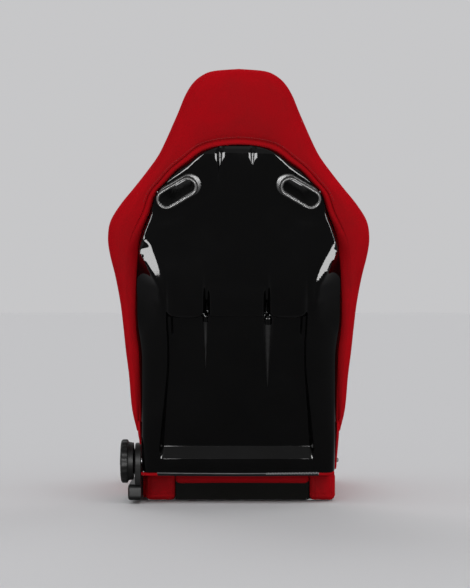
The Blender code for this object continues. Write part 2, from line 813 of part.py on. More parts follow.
def make_bolsters():
    """Side and shoulder bolsters: each follows the outline and stands forward of the centre pads."""
    low = BOLSTER_LOW
    top = INSERT_SPLIT - PAD_SEAM
    rise = top - (low + 0.055)
    side_heights = [low, low + 0.02, *(low + 0.055 + rise * share for share in (0.0, 0.189, 0.438, 0.687, 0.90, 1.0))]
    side_crest = [0.034, 0.048, 0.070, 0.096, BOLSTER_DEPTH, BOLSTER_DEPTH, 0.100, 0.094]
    rings = []
    for w, crest in zip(side_heights, side_crest):
        front = min(INSERT_DEPTH * 0.85, crest)
        rings.append(pad_ring(INSERT_HALF + PAD_SEAM, outer_half(w) - 0.002, w, front, crest))
    rise = SLOT_W - INSERT_SPLIT
    shoulder_heights = [INSERT_SPLIT + rise * share for share in (0.0, 0.055, 0.23, 0.415, 0.60, 0.783, 0.968)]
    shoulder_heights += [SLOT_W + 0.028, SLOT_W + 0.055, SLOT_W + 0.068]
    shoulder_crest = [0.094, 0.098, 0.101, 0.100, 0.093, 0.078, 0.060, 0.048, 0.040, 0.030]
    tops = []
    for w, crest in zip(shoulder_heights, shoulder_crest):
        outer = outer_half(w) - 0.002
        inner = min(INSERT_HALF + PAD_SEAM, outer - 0.022)
        tops.append(pad_ring(inner, outer, w, min(INSERT_DEPTH * 0.85, crest), crest))
    for name, shape in (("side_bolster", rings), ("shoulder_bolster", tops)):
        for side, word in ((1, "left"), (-1, "right")):
            pad = soft_pad(f"{name}_{word}", shape if side > 0 else mirrored(shape), RED_CLOTH, BACK)
            if name == "shoulder_bolster":
                cut_slot(pad, side, word)


def cut_slot(pad, side, word):
    size = 2 * (2 * BEZEL_RADIUS + 0.0015)
    cutter = slot_prism(
        f"{pad.name}_slot_{word}", SLOT_LENGTH + size, SLOT_WIDTH + size, side, -0.15, -PAD_BACK + 0.005
    )
    cut(pad, as_cutter(cutter))


def make_centre_pads():
    """The centre insert in two lengths and the head pad."""

    def column(w, half, depth, round_share=0.18):
        edge = half * (1 - round_share)
        return [
            (-half, -PAD_BACK, w),
            (-half, -PAD_BACK - (depth - PAD_BACK) * 0.7, w),
            (-edge, -depth, w),
            (0.0, -depth - 0.003, w),
            (edge, -depth, w),
            (half, -PAD_BACK - (depth - PAD_BACK) * 0.7, w),
            (half, -PAD_BACK, w),
        ]

    def centre_pad(name, heights, halves, depths, material):
        rings = [column(w, half, depth) for w, half, depth in zip(heights, halves, depths)]
        return soft_pad(name, rings, material, BACK)

    low, split = INSERT_LOW, INSERT_SPLIT - PAD_SEAM
    centre_pad(
        "lower_insert",
        [low, low + 0.02, low + 0.05, 0.17, 0.26, split - 0.04, split],
        [INSERT_HALF] * 7,
        [0.022, 0.036, INSERT_DEPTH + 0.004, INSERT_DEPTH + 0.012, INSERT_DEPTH + 0.010, INSERT_DEPTH, 0.040],
        BLACK_CLOTH,
    )
    top = HEAD_LOW - PAD_SEAM
    upper = centre_pad(
        "upper_insert",
        [INSERT_SPLIT, INSERT_SPLIT + 0.04, (INSERT_SPLIT + top) / 2 - 0.049, SLOT_W - 0.017, top - 0.05, top],
        [INSERT_HALF] * 5 + [INSERT_HALF - 0.002],
        [0.040, INSERT_DEPTH, INSERT_DEPTH, INSERT_DEPTH - 0.004, INSERT_DEPTH - 0.004, 0.036],
        BLACK_CLOTH,
    )
    for side, word in ((1, "left"), (-1, "right")):
        cut_slot(upper, side, word)
    heights = [HEAD_LOW, HEAD_LOW + 0.03, HEAD_LOW + 0.07, *(HEAD_TOP - drop for drop in HEAD_DROPS)]
    halves = [outer_half(w) - 0.003 for w in heights]
    depths = [0.036, HEAD_DEPTH - 0.004, HEAD_DEPTH, HEAD_DEPTH, HEAD_DEPTH - 0.006, 0.036, 0.024]
    centre_pad("head_pad", heights, halves, depths, RED_CLOTH)


def l_section(side):
    """A rail's section: the outer upright and the flat sole, as (x, z)."""
    outer = BASE_PLATE_X - GAP
    points = [
        (RAIL_INNER, 0.0),
        (outer, 0.0),
        (outer, RAIL_HEIGHT),
        (outer - RAIL_SHEET, RAIL_HEIGHT),
        (outer - RAIL_SHEET, RAIL_SHEET),
        (RAIL_INNER, RAIL_SHEET),
    ]
    return [(side * x, z) for x, z in points]


def make_base_frame():
    for side, word in ((1, "left"), (-1, "right")):
        section = l_section(side)
        rings = [[(x, -d, z) for x, z in section] for d in (RAIL_REAR, RAIL_FRONT)]
        rail = loft("base_rail_" + word, rings, FRAME_PAINT, BASE)
        for place, d in (("rear", MOUNT_REAR), ("front", MOUNT_FRONT)):
            hole = cylinder_z(f"mount_hole_{place}_{word}", MOUNT_HOLE, -0.01, 0.02, (side * MOUNT_X, -d), None, BASE, 20)
            cut(rail, as_cutter(hole))
            make_weld_nut(f"weld_nut_{place}_{word}", side * MOUNT_X, -d)
        for number, d in enumerate(BOLT_D, 1):
            hole = cylinder_x(
                f"bolt_hole_{number}_{word}",
                BOLT_RADIUS + GAP,
                side * BASE_PLATE_X - 0.02,
                side * BASE_PLATE_X + 0.02,
                (-d, BOLT_Z),
                None,
                BASE,
                16,
            )
            cut(rail, as_cutter(hole))
        make_base_plate(side, word)
        for number, d in enumerate(BOLT_D, 1):
            make_hinge_bolt(f"hinge_bolt_{number}_{word}", side, d)
    reach = BASE_PLATE_X - GAP
    tube_z = RAIL_HEIGHT + GAP + TUBE_RADIUS
    for name, d in (("base_rear_tube", REAR_TUBE), ("base_front_tube", FRONT_TUBE)):
        pipe(name, [(-reach, -d, tube_z), (0.0, -d, tube_z), (reach, -d, tube_z)], FRAME_PAINT, BASE)
    wire_z = tube_z + TUBE_RADIUS + GAP + WIRE_RADIUS
    for number, x in enumerate(SEAT_SPRING_X, 1):
        count = SPRING_WAVES * 4
        reach = FRONT_TUBE - REAR_TUBE - WIRE_RADIUS
        path = []
        for i in range(count + 1):
            swing = SPRING_SWING * math.sin(math.tau * SPRING_WAVES * i / count)
            path.append((x + swing, -REAR_TUBE - reach * i / count, wire_z))
        tube(f"seat_spring_{number}", path, WIRE_RADIUS, STEEL, BASE, 1)


def make_weld_nut(name, x, y):
    nut = cylinder_z(
        name, NUT_ACROSS / math.sqrt(3), RAIL_SHEET + GAP, RAIL_SHEET + GAP + NUT_HEIGHT, (x, y), STEEL, BASE, 6
    )
    hole = cylinder_z(name + "_thread", BOLT_RADIUS, 0.0, 0.02, (x, y), None, BASE, 16)
    cut(nut, as_cutter(hole))


def make_hinge_bolt(name, side, d):
    """A bolt from inside, through the rail's upright and the hinge plate."""
    seat = BASE_PLATE_X - GAP - RAIL_SHEET - GAP
    end = BASE_PLATE_X + PLATE
    profile = [
        (0.0, end),
        (BOLT_RADIUS, end),
        (BOLT_RADIUS, seat),
        (0.0065, seat),
        (0.0065, seat - 0.005),
        (0.0, seat - 0.005),
    ]
    bolt = turned(name, profile, STEEL, BASE, 16)
    bolt.rotation_euler = (0.0, side * math.pi / 2, 0.0)
    bolt.location = (0.0, -d, BOLT_Z)


def make_base_plate(side, word):
    """The side plate that holds the hinge, bolted to the rail's upright."""
    low = REAR_TOP + 0.0025 - HINGE_Z
    foot = 0.006 - HINGE_Z
    outline = arc((0.0, 0.0), HUB_RADIUS, 115, -85, 14)
    outline += [(-RAIL_REAR - 0.003, low), (-RAIL_REAR - 0.003, foot), (-0.165, foot), (-0.165, 0.037 - HINGE_Z)]
    outline += [(-0.110, 0.055 - HINGE_Z), (-0.060, 0.015)]
    holes = [circle(SHAFT_RADIUS + GAP)]
    holes += [circle(BOLT_RADIUS + GAP, (-d, BOLT_Z - HINGE_Z), 16) for d in BOLT_D]
    middle = side * (BASE_PLATE_X + PLATE / 2)
    plate("base_hinge_plate_" + word, [outline, *holes], PLATE, FRAME_PAINT, HINGE, middle)


def make_rear_end():
    """The cushion's rear end, seen under the shell: black panel, red strip and red corners."""
    x = BASE_SHIFT
    box(
        "rear_panel",
        (x - PANEL_HALF, -REAR - 0.008, PANEL_LOW),
        (x + PANEL_HALF, -REAR, PANEL_TOP),
        BLACK_CLOTH,
        BASE,
        0.002,
    )
    front = REAR_TUBE - TUBE_RADIUS - GAP
    box(
        "rear_strip",
        (x - PANEL_HALF, -front, PANEL_TOP + GAP),
        (x + PANEL_HALF, -REAR + 0.002, REAR_TOP),
        RED_CLOTH,
        BASE,
        0.003,
    )
    for side, word in ((1, "left"), (-1, "right")):
        inner = x + side * (PANEL_HALF + GAP)
        outer = side * CORNER_HALF
        box(
            "rear_corner_" + word,
            (min(inner, outer), -RAIL_REAR + GAP, 0.002),
            (max(inner, outer), -REAR + 0.004, REAR_TOP),
            RED_CLOTH,
            BASE,
            0.006,
            2,
        )


def side_out(d):
    """The cushion's half width, which grows forward of the cover on the hinge plate."""
    rear = COVER_INNER - GAP
    share = max(0.0, (d - COVER_FRONT) / (SEAT_FRONT - COVER_FRONT))
    return rear + (THIGH_OUT_FRONT - rear) * share


def thigh_section(d, outer, low, top):
    """One section of the left thigh bolster: low inside, where it meets the insert, and crowned outside."""
    inner = SEAT_HALF
    top_in = min(top - 0.004, SEAT_TOP_FRONT)
    width = outer - inner
    return [
        (inner, -d, low),
        (inner, -d, low + (top_in - low) * 0.80),
        (inner + width * 0.10, -d, top_in),
        (inner + width * 0.42, -d, (top_in + top) / 2 + 0.010),
        (inner + width * 0.72, -d, top),
        (inner + width * 0.96, -d, low + (top - low) * 0.80),
        (outer, -d, low + (top - low) * 0.35),
        (outer, -d, low),
    ]


def make_cushions():
    tubes = RAIL_HEIGHT + GAP + 2 * TUBE_RADIUS
    low = tubes + GAP
    wires = low + 2 * WIRE_RADIUS + GAP
    half = SEAT_HALF - PAD_SEAM
    crown = 0.003
    stations = [(0.084, 0.105), (0.105, 0.126), (0.150, SEAT_TOP_REAR), (0.250, 0.134), (0.360, 0.144)]
    stations += [(0.425, SEAT_TOP_FRONT), (FRONT_TUBE + 0.001, SEAT_TOP_FRONT)]
    rings = []
    for d, top in stations:
        side = wires + (top - wires) * 0.8
        rings.append(
            [
                (-half, -d, wires),
                (-half, -d, side),
                (-half * 0.85, -d, top),
                (0.0, -d, top + crown),
                (half * 0.85, -d, top),
                (half, -d, side),
                (half, -d, wires),
            ]
        )
    soft_pad("seat_insert", rings, BLACK_CLOTH, BASE)
    tail = BASE_PLATE_X - 0.0153
    stations = [(THIGH_TAIL, 0.100, tail), (0.100, 0.128, tail + 0.006), (THIGH_REAR, 0.158, side_out(THIGH_REAR))]
    stations += [(d, top, side_out(d)) for d, top in ((0.150, 0.184), (0.20, 0.199), (0.28, THIGH_TOP))]
    stations += [(d, top, side_out(d)) for d, top in ((0.36, THIGH_TOP), (0.44, 0.192), (0.485, 0.172))]
    stations += [(SEAT_FRONT, 0.140, side_out(SEAT_FRONT))]
    shape = [thigh_section(d, outer, low, top) for d, top, outer in stations]
    for side, word in ((1, "left"), (-1, "right")):
        soft_pad("thigh_bolster_" + word, shape if side > 0 else mirrored(shape), RED_CLOTH, BASE)
    roll_rear = FRONT_TUBE + 0.003
    roll = [
        (roll_rear, low),
        (roll_rear, 0.138),
        (roll_rear + 0.010, 0.153),
        (FRONT_TUBE + 0.029, 0.151),
        (SEAT_FRONT - 0.003, 0.128),
        (SEAT_FRONT, 0.095),
        (SEAT_FRONT, low),
    ]
    rings = [[(x, -d, z) for d, z in roll] for x in (-half, -half + 0.02, 0.0, half - 0.02, half)]
    soft_pad("front_roll", rings, RED_CLOTH, BASE)
    front = SEAT_FRONT - 0.003
    inner = BASE_PLATE_X + PLATE + GAP
    box(
        "front_apron",
        (GAP - inner, -front, 0.004),
        (inner - GAP, -RAIL_FRONT - GAP, low - GAP),
        RED_CLOTH,
        BASE,
        0.004,
    )
    for side, word in ((1, "left"), (-1, "right")):
        rings = []
        for d in (RAIL_REAR + 0.003, COVER_FRONT, front):
            xs = (inner, side_out(d))
            ring = [(xs[0], 0.004), (xs[1], 0.004), (xs[1], low - GAP), (xs[0], low - GAP)]
            rings.append([(side * x, -d, z) for x, z in ring])
        skirt = loft("side_skirt_" + word, rings, RED_CLOTH, BASE)
        add_bevel(skirt, 0.0015)


make_wrap()
make_shell()
make_harness_slots()
make_back_frame()
make_back_plates()
make_recliner()
make_dial()
make_covers()
make_bolsters()
make_centre_pads()
make_base_frame()
make_rear_end()
make_cushions()
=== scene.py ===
"""Looks of the reclining bucket seat: cloth over foam, gloss rear shell, harness bezels and recliner trim.

The backrest's pieces are modelled in its own frame, as the CAD does: x across, n behind the plane of the
tubular frame, w up along the backrest from the recline hinge. The base's pieces are in the shared frame.
All lengths are in metres.
"""
import json
import math
from contextlib import contextmanager

import bmesh
import bpy
import numpy as np
from mathutils import Matrix, Vector
from mathutils.bvhtree import BVHTree


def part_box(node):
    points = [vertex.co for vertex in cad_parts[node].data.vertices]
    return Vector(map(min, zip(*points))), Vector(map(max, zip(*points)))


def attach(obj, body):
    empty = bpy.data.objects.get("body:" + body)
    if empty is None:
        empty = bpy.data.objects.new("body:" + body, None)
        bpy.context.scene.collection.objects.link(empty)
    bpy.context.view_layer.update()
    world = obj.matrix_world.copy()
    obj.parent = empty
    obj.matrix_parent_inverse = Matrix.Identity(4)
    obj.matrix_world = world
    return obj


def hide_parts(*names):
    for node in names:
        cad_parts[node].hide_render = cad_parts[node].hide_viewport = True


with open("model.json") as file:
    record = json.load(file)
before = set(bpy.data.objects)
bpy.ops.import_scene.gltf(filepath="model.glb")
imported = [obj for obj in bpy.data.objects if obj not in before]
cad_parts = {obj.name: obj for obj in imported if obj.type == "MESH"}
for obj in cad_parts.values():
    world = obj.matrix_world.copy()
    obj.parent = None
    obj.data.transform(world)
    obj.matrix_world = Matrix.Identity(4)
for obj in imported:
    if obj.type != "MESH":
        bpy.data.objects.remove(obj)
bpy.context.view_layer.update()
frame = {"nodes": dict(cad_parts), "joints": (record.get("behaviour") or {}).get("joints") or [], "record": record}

JOINTS = {joint["name"]: joint for joint in frame["joints"]}
HINGE = Vector(JOINTS["recline"]["pos_m"])
RECLINE = math.radians(18.0)
BACK = Matrix.Translation(HINGE) @ Matrix.Rotation(-RECLINE, 4, "X")
HERE = Matrix.Identity(4)

# Backrest outline, half of it, low end to head: half width and height of the cloth's outer edge, then of the
# edge where the cloth meets the rear shell
OUTLINE = (
    (0.2165, 0.0750, 0.2110, 0.0750),
    (0.2260, 0.1250, 0.2105, 0.1250),
    (0.2310, 0.2000, 0.2105, 0.2000),
    (0.2366, 0.2560, 0.2115, 0.2560),
    (0.2410, 0.3100, 0.2165, 0.3100),
    (0.2463, 0.3640, 0.2170, 0.3640),
    (0.2555, 0.4200, 0.2150, 0.4100),
    (0.2663, 0.4700, 0.2115, 0.4600),
    (0.2698, 0.5060, 0.2065, 0.5000),
    (0.2640, 0.5400, 0.1960, 0.5350),
    (0.2430, 0.5750, 0.1820, 0.5690),
    (0.2155, 0.6095, 0.1690, 0.6080),
    (0.1880, 0.6440, 0.1480, 0.6310),
    (0.1636, 0.6780, 0.1250, 0.6555),
    (0.1466, 0.7120, 0.1025, 0.6725),
    (0.1320, 0.7455, 0.0855, 0.6865),
    (0.1212, 0.7706, 0.0700, 0.6960),
    (0.1076, 0.8040, 0.0540, 0.7015),
    (0.0920, 0.8290, 0.0380, 0.7047),
    (0.0725, 0.8455, 0.0250, 0.7062),
    (0.0490, 0.8540, 0.0125, 0.7070),
    (0.0, 0.8580, 0.0, 0.7074),
)
FLANGE = 0.0113  # the cloth border and the pads lie this far from the frame's plane
PAD_BACK = 0.0116

# Cloth border round the shell
LIP_WIDTH = 0.0155
LIP_SHARE = 0.46  # of the border's width, at most
LIP_TOP = 0.0305
WRAP_DEPTH = 0.029
ARCH_LOW = 0.47  # above ARCH_HIGH the border ends in a lip, and below ARCH_LOW it is tucked in at the shell
ARCH_HIGH = 0.58
TUCK_WIDTH = 0.021
TUCK_DEPTH = 0.0125
EDGE_ROLL = 0.0035

# Rear shell
SHELL_BOTTOM = -0.010
SHELL_LOW_HALF = 0.2085
SHELL_EDGE = 0.0155
SHELL_LIFT = 0.0145  # the edge stands this much higher where the cloth's lip runs round the arch
FACET_EDGE = 0.0125
HIP_SLOPE = 0.53  # the ridge over each facet climbs this steeply up to the crease
HIP_SLANT = 0.84  # distance from the slanting crease, as a share of the distance along x
HIP_LEFT = 0.0125  # the ridge's half width on each side; the left one grows upwards
HIP_RIGHT = 0.0130
HIP_GROWTH = 0.14
SHELL_GAP = 0.0009
SHELL_UNDER = 0.0048  # how far the shell's top reaches in under the cloth's lip
SHELL_WALL = 0.0028
SHELL_DEPTH = (
    (-0.010, 0.040),
    (0.05, 0.043),
    (0.20, 0.0500),
    (0.35, 0.058),
    (0.44, 0.0655),
    (0.49, 0.0608),
    (0.53, 0.0563),
    (0.56, 0.0533),
    (0.59, 0.0516),
    (0.615, 0.0511),
    (0.64, 0.0505),
    (0.7074, 0.0475),
)
MOULD_SHIFT = 0.004
RECESS_DEPTH = 0.018
RECESS_HALF = ((0.0, 0.1600), (0.040, 0.1560), (0.150, 0.1480), (0.260, 0.1420), (0.345, 0.1440))
LEDGE_W = 0.3465
CHANNEL_DEPTH = 0.0042
BLOCK_HALF = 0.0560
BLOCK_RISE = 0.0065
GROOVE_X = 0.0635  # between the block and each lobe
LOBE_X = 0.1060
LOBE_HALF = 0.0385
LOBE_RISE = 0.0050
DENTS = ((0.0385, 0.0050, 1.0), (-0.0280, 0.0042, 0.8))  # place, width and strength, at the top edge
FINS = (  # middle, half width and lower and upper end of each fin under the ledge, and its height
    (0.0655, 0.0078, 0.225, 0.3465, 0.0075),
    (-0.0655, 0.0120, 0.180, 0.3405, 0.0080),
)
FACET_CREASE = ((0.262, 0.2150), (0.343, 0.1600), (0.4215, 0.1650), (0.503, 0.2085), (0.512, 0.2170))

# Harness slots
SLOT_X = 0.1265
SLOT_W = 0.6170
SLOT_TILT = math.radians(31.0)
SLOT_LENGTH = 0.080
SLOT_WIDTH = 0.030
SLOT_LAND = 0.0510
BEZEL_HEIGHT = 0.0103
SLEEVE_FRONT = -0.0465
CUT_ROOM = 0.004  # the shell's holes are this much longer and wider than the slots


# ---------------------------------------------------------------- small tools

def ramp(low, high, value):
    """0 at low, 1 at high and smooth between; low may be the larger one."""
    t = np.clip((np.asarray(value, float) - low) / (high - low), 0.0, 1.0)
    return t * t * (3 - 2 * t)


def table(pairs, value):
    """Straight lines between (place, value) pairs."""
    places, values = zip(*pairs)
    return np.interp(value, places, values)


def smooth_table(pairs, value):
    """A cubic curve through (place, value) pairs."""
    places, values = (np.array(column, float) for column in zip(*pairs))
    slopes = np.gradient(values, places)
    value = np.clip(value, places[0], places[-1])
    i = np.clip(np.searchsorted(places, value, side="right") - 1, 0, len(places) - 2)
    span = places[i + 1] - places[i]
    t = (value - places[i]) / span
    return (
        values[i] * (2 * t**3 - 3 * t**2 + 1)
        + values[i + 1] * (3 * t**2 - 2 * t**3)
        + span * slopes[i] * (t**3 - 2 * t**2 + t)
        + span * slopes[i + 1] * (t**3 - t**2)
    )


def smooth_min(first, second, radius):
    """The smaller of two heights, with a rounded crease."""
    blend = np.clip(0.5 + 0.5 * (second - first) / radius, 0.0, 1.0)
    return second + (first - second) * blend - radius * blend * (1 - blend)


def furrow(distance, width):
    """1 on a line, and fading away from it."""
    return np.exp(-((distance / width) ** 2))


def catmull(points, steps):
    """Points of a smooth curve through the given ones, with steps pieces to each span."""
    rows = np.array(points, float)
    rows = np.vstack([2 * rows[0] - rows[1], rows, 2 * rows[-1] - rows[-2]])
    made = []
    for a, b, c, d in zip(rows, rows[1:], rows[2:], rows[3:]):
        for t in np.arange(steps) / steps:
            bend, twist = 2 * a - 5 * b + 4 * c - d, 3 * b - a - 3 * c + d
            made.append((2 * b + (c - a) * t + bend * t**2 + twist * t**3) / 2)
    return np.array(made + [rows[-2]])


def evenly(path, step):
    """The path again, with its points a step apart."""
    path = np.array(path, float)
    lengths = np.concatenate([[0.0], np.cumsum(np.linalg.norm(np.diff(path, axis=0), axis=1))])
    count = max(2, int(round(lengths[-1] / step)) + 1)
    places = np.linspace(0.0, lengths[-1], count)
    return np.column_stack([np.interp(places, lengths, path[:, k]) for k in range(3)])


def stations(steps):
    """The whole border, from the seat's left low end over the head to the right one."""
    half = catmull(OUTLINE, steps)
    other = half[::-1][1:] * (-1, 1, -1, 1)
    return np.vstack([half, other])


@contextmanager
def edited(mesh):
    """The mesh as a bmesh, written back at the end."""
    bm = bmesh.new()
    bm.from_mesh(mesh)
    yield bm
    bm.to_mesh(mesh)
    bm.free()


def new_object(name, data):
    """An object in the scene."""
    item = bpy.data.objects.new(name, data)
    bpy.context.scene.collection.objects.link(item)
    return item


class Form:
    """Points and faces gathered for one piece; rows, if given, are skinned as grid does."""

    def __init__(self, rows=None, **closed):
        self.points, self.faces, self.count = [], [], 0
        if rows is not None:
            self.grid(rows, **closed)

    def add(self, points, faces):
        points = np.asarray(points, float).reshape(-1, 3)
        self.faces += [[i + self.count for i in face] for face in faces]
        self.points.append(points)
        self.count += len(points)

    def grid(self, rows, around=False, along=False, caps=False):
        """A skin over rows of points: around closes each row, along joins the last row to the first."""
        rows = np.asarray(rows, float)
        high, wide = rows.shape[:2]
        faces = []
        for i in range(high if along else high - 1):
            for j in range(wide if around else wide - 1):
                k, m = (i + 1) % high, (j + 1) % wide
                faces.append((i * wide + j, i * wide + m, k * wide + m, k * wide + j))
        if caps:
            faces += [list(range(wide))[::-1], list(range((high - 1) * wide, high * wide))]
        self.add(rows, faces)

    def tube(self, path, radius, sides=8, closed=False, flat=1.0):
        """A round cord along a path; flat is its height as a share of its width."""
        path = np.array(path, float)
        ahead = np.roll(path, -1, 0) - np.roll(path, 1, 0)
        if not closed:
            ahead[0], ahead[-1] = path[1] - path[0], path[-1] - path[-2]
        ahead /= np.linalg.norm(ahead, axis=1)[:, None]
        side = np.cross(ahead[0], (0.31, 0.17, 0.93))
        rings = []
        for point, forward in zip(path, ahead):
            side = side - forward * np.dot(side, forward)
            side /= np.linalg.norm(side)
            up = np.cross(forward, side)
            angles = np.arange(sides) * math.tau / sides
            spokes = np.outer(np.cos(angles), side) + flat * np.outer(np.sin(angles), up)
            rings.append(point + radius * spokes)
        self.grid(rings, around=True, along=closed, caps=not closed)


def solid(rows):
    """A form skinned over rings of points and capped at both ends."""
    return Form(rows, around=True, caps=True)


def new_mesh(name, form):
    """The form as a mesh, with its normals turned outwards."""
    mesh = bpy.data.meshes.new(name)
    mesh.from_pydata([tuple(point) for point in np.vstack(form.points)], [], form.faces)
    with edited(mesh) as bm:
        bmesh.ops.recalc_face_normals(bm, faces=bm.faces)
    return mesh


def piece(name, form, material, body, stands_for=(), place=HERE, angle=40.0):
    """A finished mesh object that rides on a body."""
    mesh = new_mesh(name, form)
    mesh.transform(place)
    mesh.materials.append(material)
    item = new_object(name, mesh)
    shade(item, angle)
    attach(item, body)
    if stands_for:
        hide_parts(*stands_for)
    return item


def shade(item, angle):
    """Smooth faces, with an edge kept sharp where it turns by more than the angle."""
    mesh = item.data
    mesh.polygons.foreach_set("use_smooth", [True] * len(mesh.polygons))
    limit = math.radians(angle)
    with edited(mesh) as bm:
        for edge in bm.edges:
            edge.smooth = not (len(edge.link_faces) == 2 and edge.calc_face_angle(0.0) > limit)


def modifier(item, kind, **settings):
    """A new modifier with its settings."""
    made = item.modifiers.new(kind.lower(), kind)
    for key, value in settings.items():
        setattr(made, key, value)
    return made


def ring_across(x, y, z, size, count):
    """A ring of points round an axis that runs along x."""
    angles = np.arange(count) * math.tau / count
    return [(x, y + size * math.cos(a), z + size * math.sin(a)) for a in angles]


def apply_modifiers(item):
    """The object's mesh as its modifiers leave it."""
    bpy.context.view_layer.update()
    shown = item.evaluated_get(bpy.context.evaluated_depsgraph_get())
    mesh = bpy.data.meshes.new_from_object(shown)
    item.modifiers.clear()
    item.data = mesh


# ---------------------------------------------------------------- materials

def node(tree, kind, inputs, **settings):
    """A new node's outputs; inputs gives its sockets values or the outputs that feed them."""
    made = tree.nodes.new(kind)
    for key, value in settings.items():
        setattr(made, key, value)
    for socket, value in inputs.items():
        if isinstance(value, bpy.types.NodeSocket):
            tree.links.new(value, made.inputs[socket])
        else:
            made.inputs[socket].default_value = value
    return made.outputs


class Look:
    """A procedural material in the making, in the piece's own metres."""

    def __init__(self, name, color, roughness, metallic=0.0, specular=0.5):
        self.material = bpy.data.materials.new(name)
        self.material.use_nodes = True
        self.material.diffuse_color = (*color, 1.0)
        self.tree = self.material.node_tree
        self.set("Base Color", (*color, 1.0))
        self.set("Roughness", roughness)
        self.set("Metallic", metallic)
        self.set("Specular IOR Level", specular)

    def set(self, socket, value):
        """Give the shader's socket a value or an output that feeds it."""
        target = self.tree.nodes["Principled BSDF"].inputs[socket]
        if isinstance(value, bpy.types.NodeSocket):
            self.tree.links.new(value, target)
        else:
            target.default_value = value

    def noise(self, scale, detail=3.0, rough=0.55):
        """Noise from 0 to 1."""
        place = node(self.tree, "ShaderNodeTexCoord", {})["Object"]
        inputs = {"Vector": place, "Scale": scale, "Detail": detail, "Roughness": rough}
        return node(self.tree, "ShaderNodeTexNoise", inputs)["Fac"]

    def mapped(self, value, low, high, to_low=0.0, to_high=1.0):
        return node(self.tree, "ShaderNodeMapRange", dict(enumerate((value, low, high, to_low, to_high))))[0]

    def maths(self, operation, first, second):
        return node(self.tree, "ShaderNodeMath", {0: first, 1: second}, operation=operation)[0]

    def total(self, shares):
        """The sum of (output, share) pairs."""
        parts = [self.maths("MULTIPLY", value, share) for value, share in shares]
        made = parts[0]
        for part in parts[1:]:
            made = self.maths("ADD", made, part)
        return made

    def vector(self, operation, inputs):
        return node(self.tree, "ShaderNodeVectorMath", inputs, operation=operation)

    def color(self, factor, first, second):
        """Base colour between two."""
        inputs = {0: factor, 6: (*first, 1.0), 7: (*second, 1.0)}
        self.set("Base Color", node(self.tree, "ShaderNodeMix", inputs, data_type="RGBA")[2])

    def bump(self, shares, distance, strength):
        inputs = {"Height": self.total(shares), "Distance": distance, "Strength": strength}
        self.set("Normal", node(self.tree, "ShaderNodeBump", inputs)["Normal"])

    def weave(self, pitch):
        """Over and under threads on any face, from 0 to 1, at a pitch in metres."""
        place = node(self.tree, "ShaderNodeTexCoord", {})
        turns = self.vector("SCALE", {0: place["Object"], "Scale": math.pi / pitch})[0]
        waves = node(self.tree, "ShaderNodeSeparateXYZ", {0: self.vector("SINE", {0: turns})[0]})
        x, y, z = (waves[axis] for axis in "XYZ")
        crossed = {n: self.maths("MULTIPLY", *pair) for n, pair in enumerate(((y, z), (x, z), (x, y)))}
        pairs = node(self.tree, "ShaderNodeCombineXYZ", crossed)[0]
        facing = self.vector("MULTIPLY", {0: place["Normal"], 1: place["Normal"]})[0]
        return self.mapped(self.vector("DOT_PRODUCT", {0: pairs, 1: facing})["Value"], -1.0, 1.0)


def cloth(name, dark, light, sheen, tint, pitch=0.0016):
    """Woven seat cloth over foam: threads, fibre fuzz and soft colour variation."""
    look = Look(name, light, 0.88, specular=0.015)
    look.set("Sheen Weight", sheen)
    look.set("Sheen Roughness", 0.45)
    look.set("Sheen Tint", (*tint, 1.0))
    threads, patches, fibres = look.weave(pitch), look.noise(14.0, 4.0), look.noise(1400.0, 2.0)
    mixed = look.total(((threads, 0.35), (patches, 0.45), (fibres, 0.20)))
    look.color(look.mapped(mixed, 0.3, 0.7), dark, light)
    look.set("Roughness", look.mapped(patches, 0.3, 0.7, 0.82, 0.96))
    look.bump(((threads, 0.6), (fibres, 0.4)), 0.0004, 0.7)
    return look.material


def gloss_black():
    """Lacquered shell: a faint flow in the lacquer and a few dull patches from handling."""
    look = Look("scene_gloss_black", (0.002,) * 3, 0.05, specular=0.09)
    dust = look.noise(7.0, 6.0, 0.65)
    look.set("Roughness", look.mapped(dust, 0.42, 0.75, 0.035, 0.11))
    look.color(look.mapped(dust, 0.4, 0.8), (0.0010,) * 3, (0.0024,) * 3)
    look.bump(((look.noise(26.0, 2.0), 1.0),), 0.00035, 0.25)
    return look.material


def moulded(name, color, worn, roughness, grain=0.00012, specular=0.25):
    """Spark-eroded plastic: fine grain, paler where hands rub it."""
    look = Look(name, color, roughness, specular=specular)
    broad = look.noise(30.0, 3.0)
    look.color(look.mapped(broad, 0.45, 0.8), color, worn)
    look.set("Roughness", look.mapped(broad, 0.3, 0.7, roughness - 0.06, roughness + 0.06))
    look.bump(((look.noise(1600.0, 2.0), 1.0),), grain, 0.8)
    return look.material


def powder_coat():
    """Dark frame paint with a fine peel and a few chips."""
    paint = (0.016, 0.016, 0.018)
    look = Look("scene_frame_paint", paint, 0.45)
    peel = look.noise(700.0, 2.0)
    look.color(look.mapped(look.noise(55.0, 5.0), 0.66, 0.72), paint, (0.05, 0.048, 0.046))
    look.set("Roughness", look.mapped(peel, 0.3, 0.7, 0.38, 0.52))
    look.bump(((peel, 1.0),), 0.0002, 0.6)
    return look.material


def zinc_steel(name, color):
    """Zinc-plated steel with a faint spangle."""
    look = Look(name, color, 0.32, 1.0)
    spangle = look.noise(160.0, 3.0)
    look.color(spangle, tuple(0.7 * c for c in color), color)
    look.set("Roughness", look.mapped(spangle, 0.3, 0.7, 0.24, 0.42))
    look.bump(((look.noise(1200.0, 2.0), 1.0),), 0.0001, 0.5)
    return look.material


def thread(name, color):
    """Twisted sewing thread."""
    look = Look(name, color, 0.60, specular=0.10)
    twist = look.noise(2500.0, 1.0)
    look.color(twist, tuple(0.6 * c for c in color), color)
    look.bump(((twist, 1.0),), 0.0002, 0.6)
    return look.material


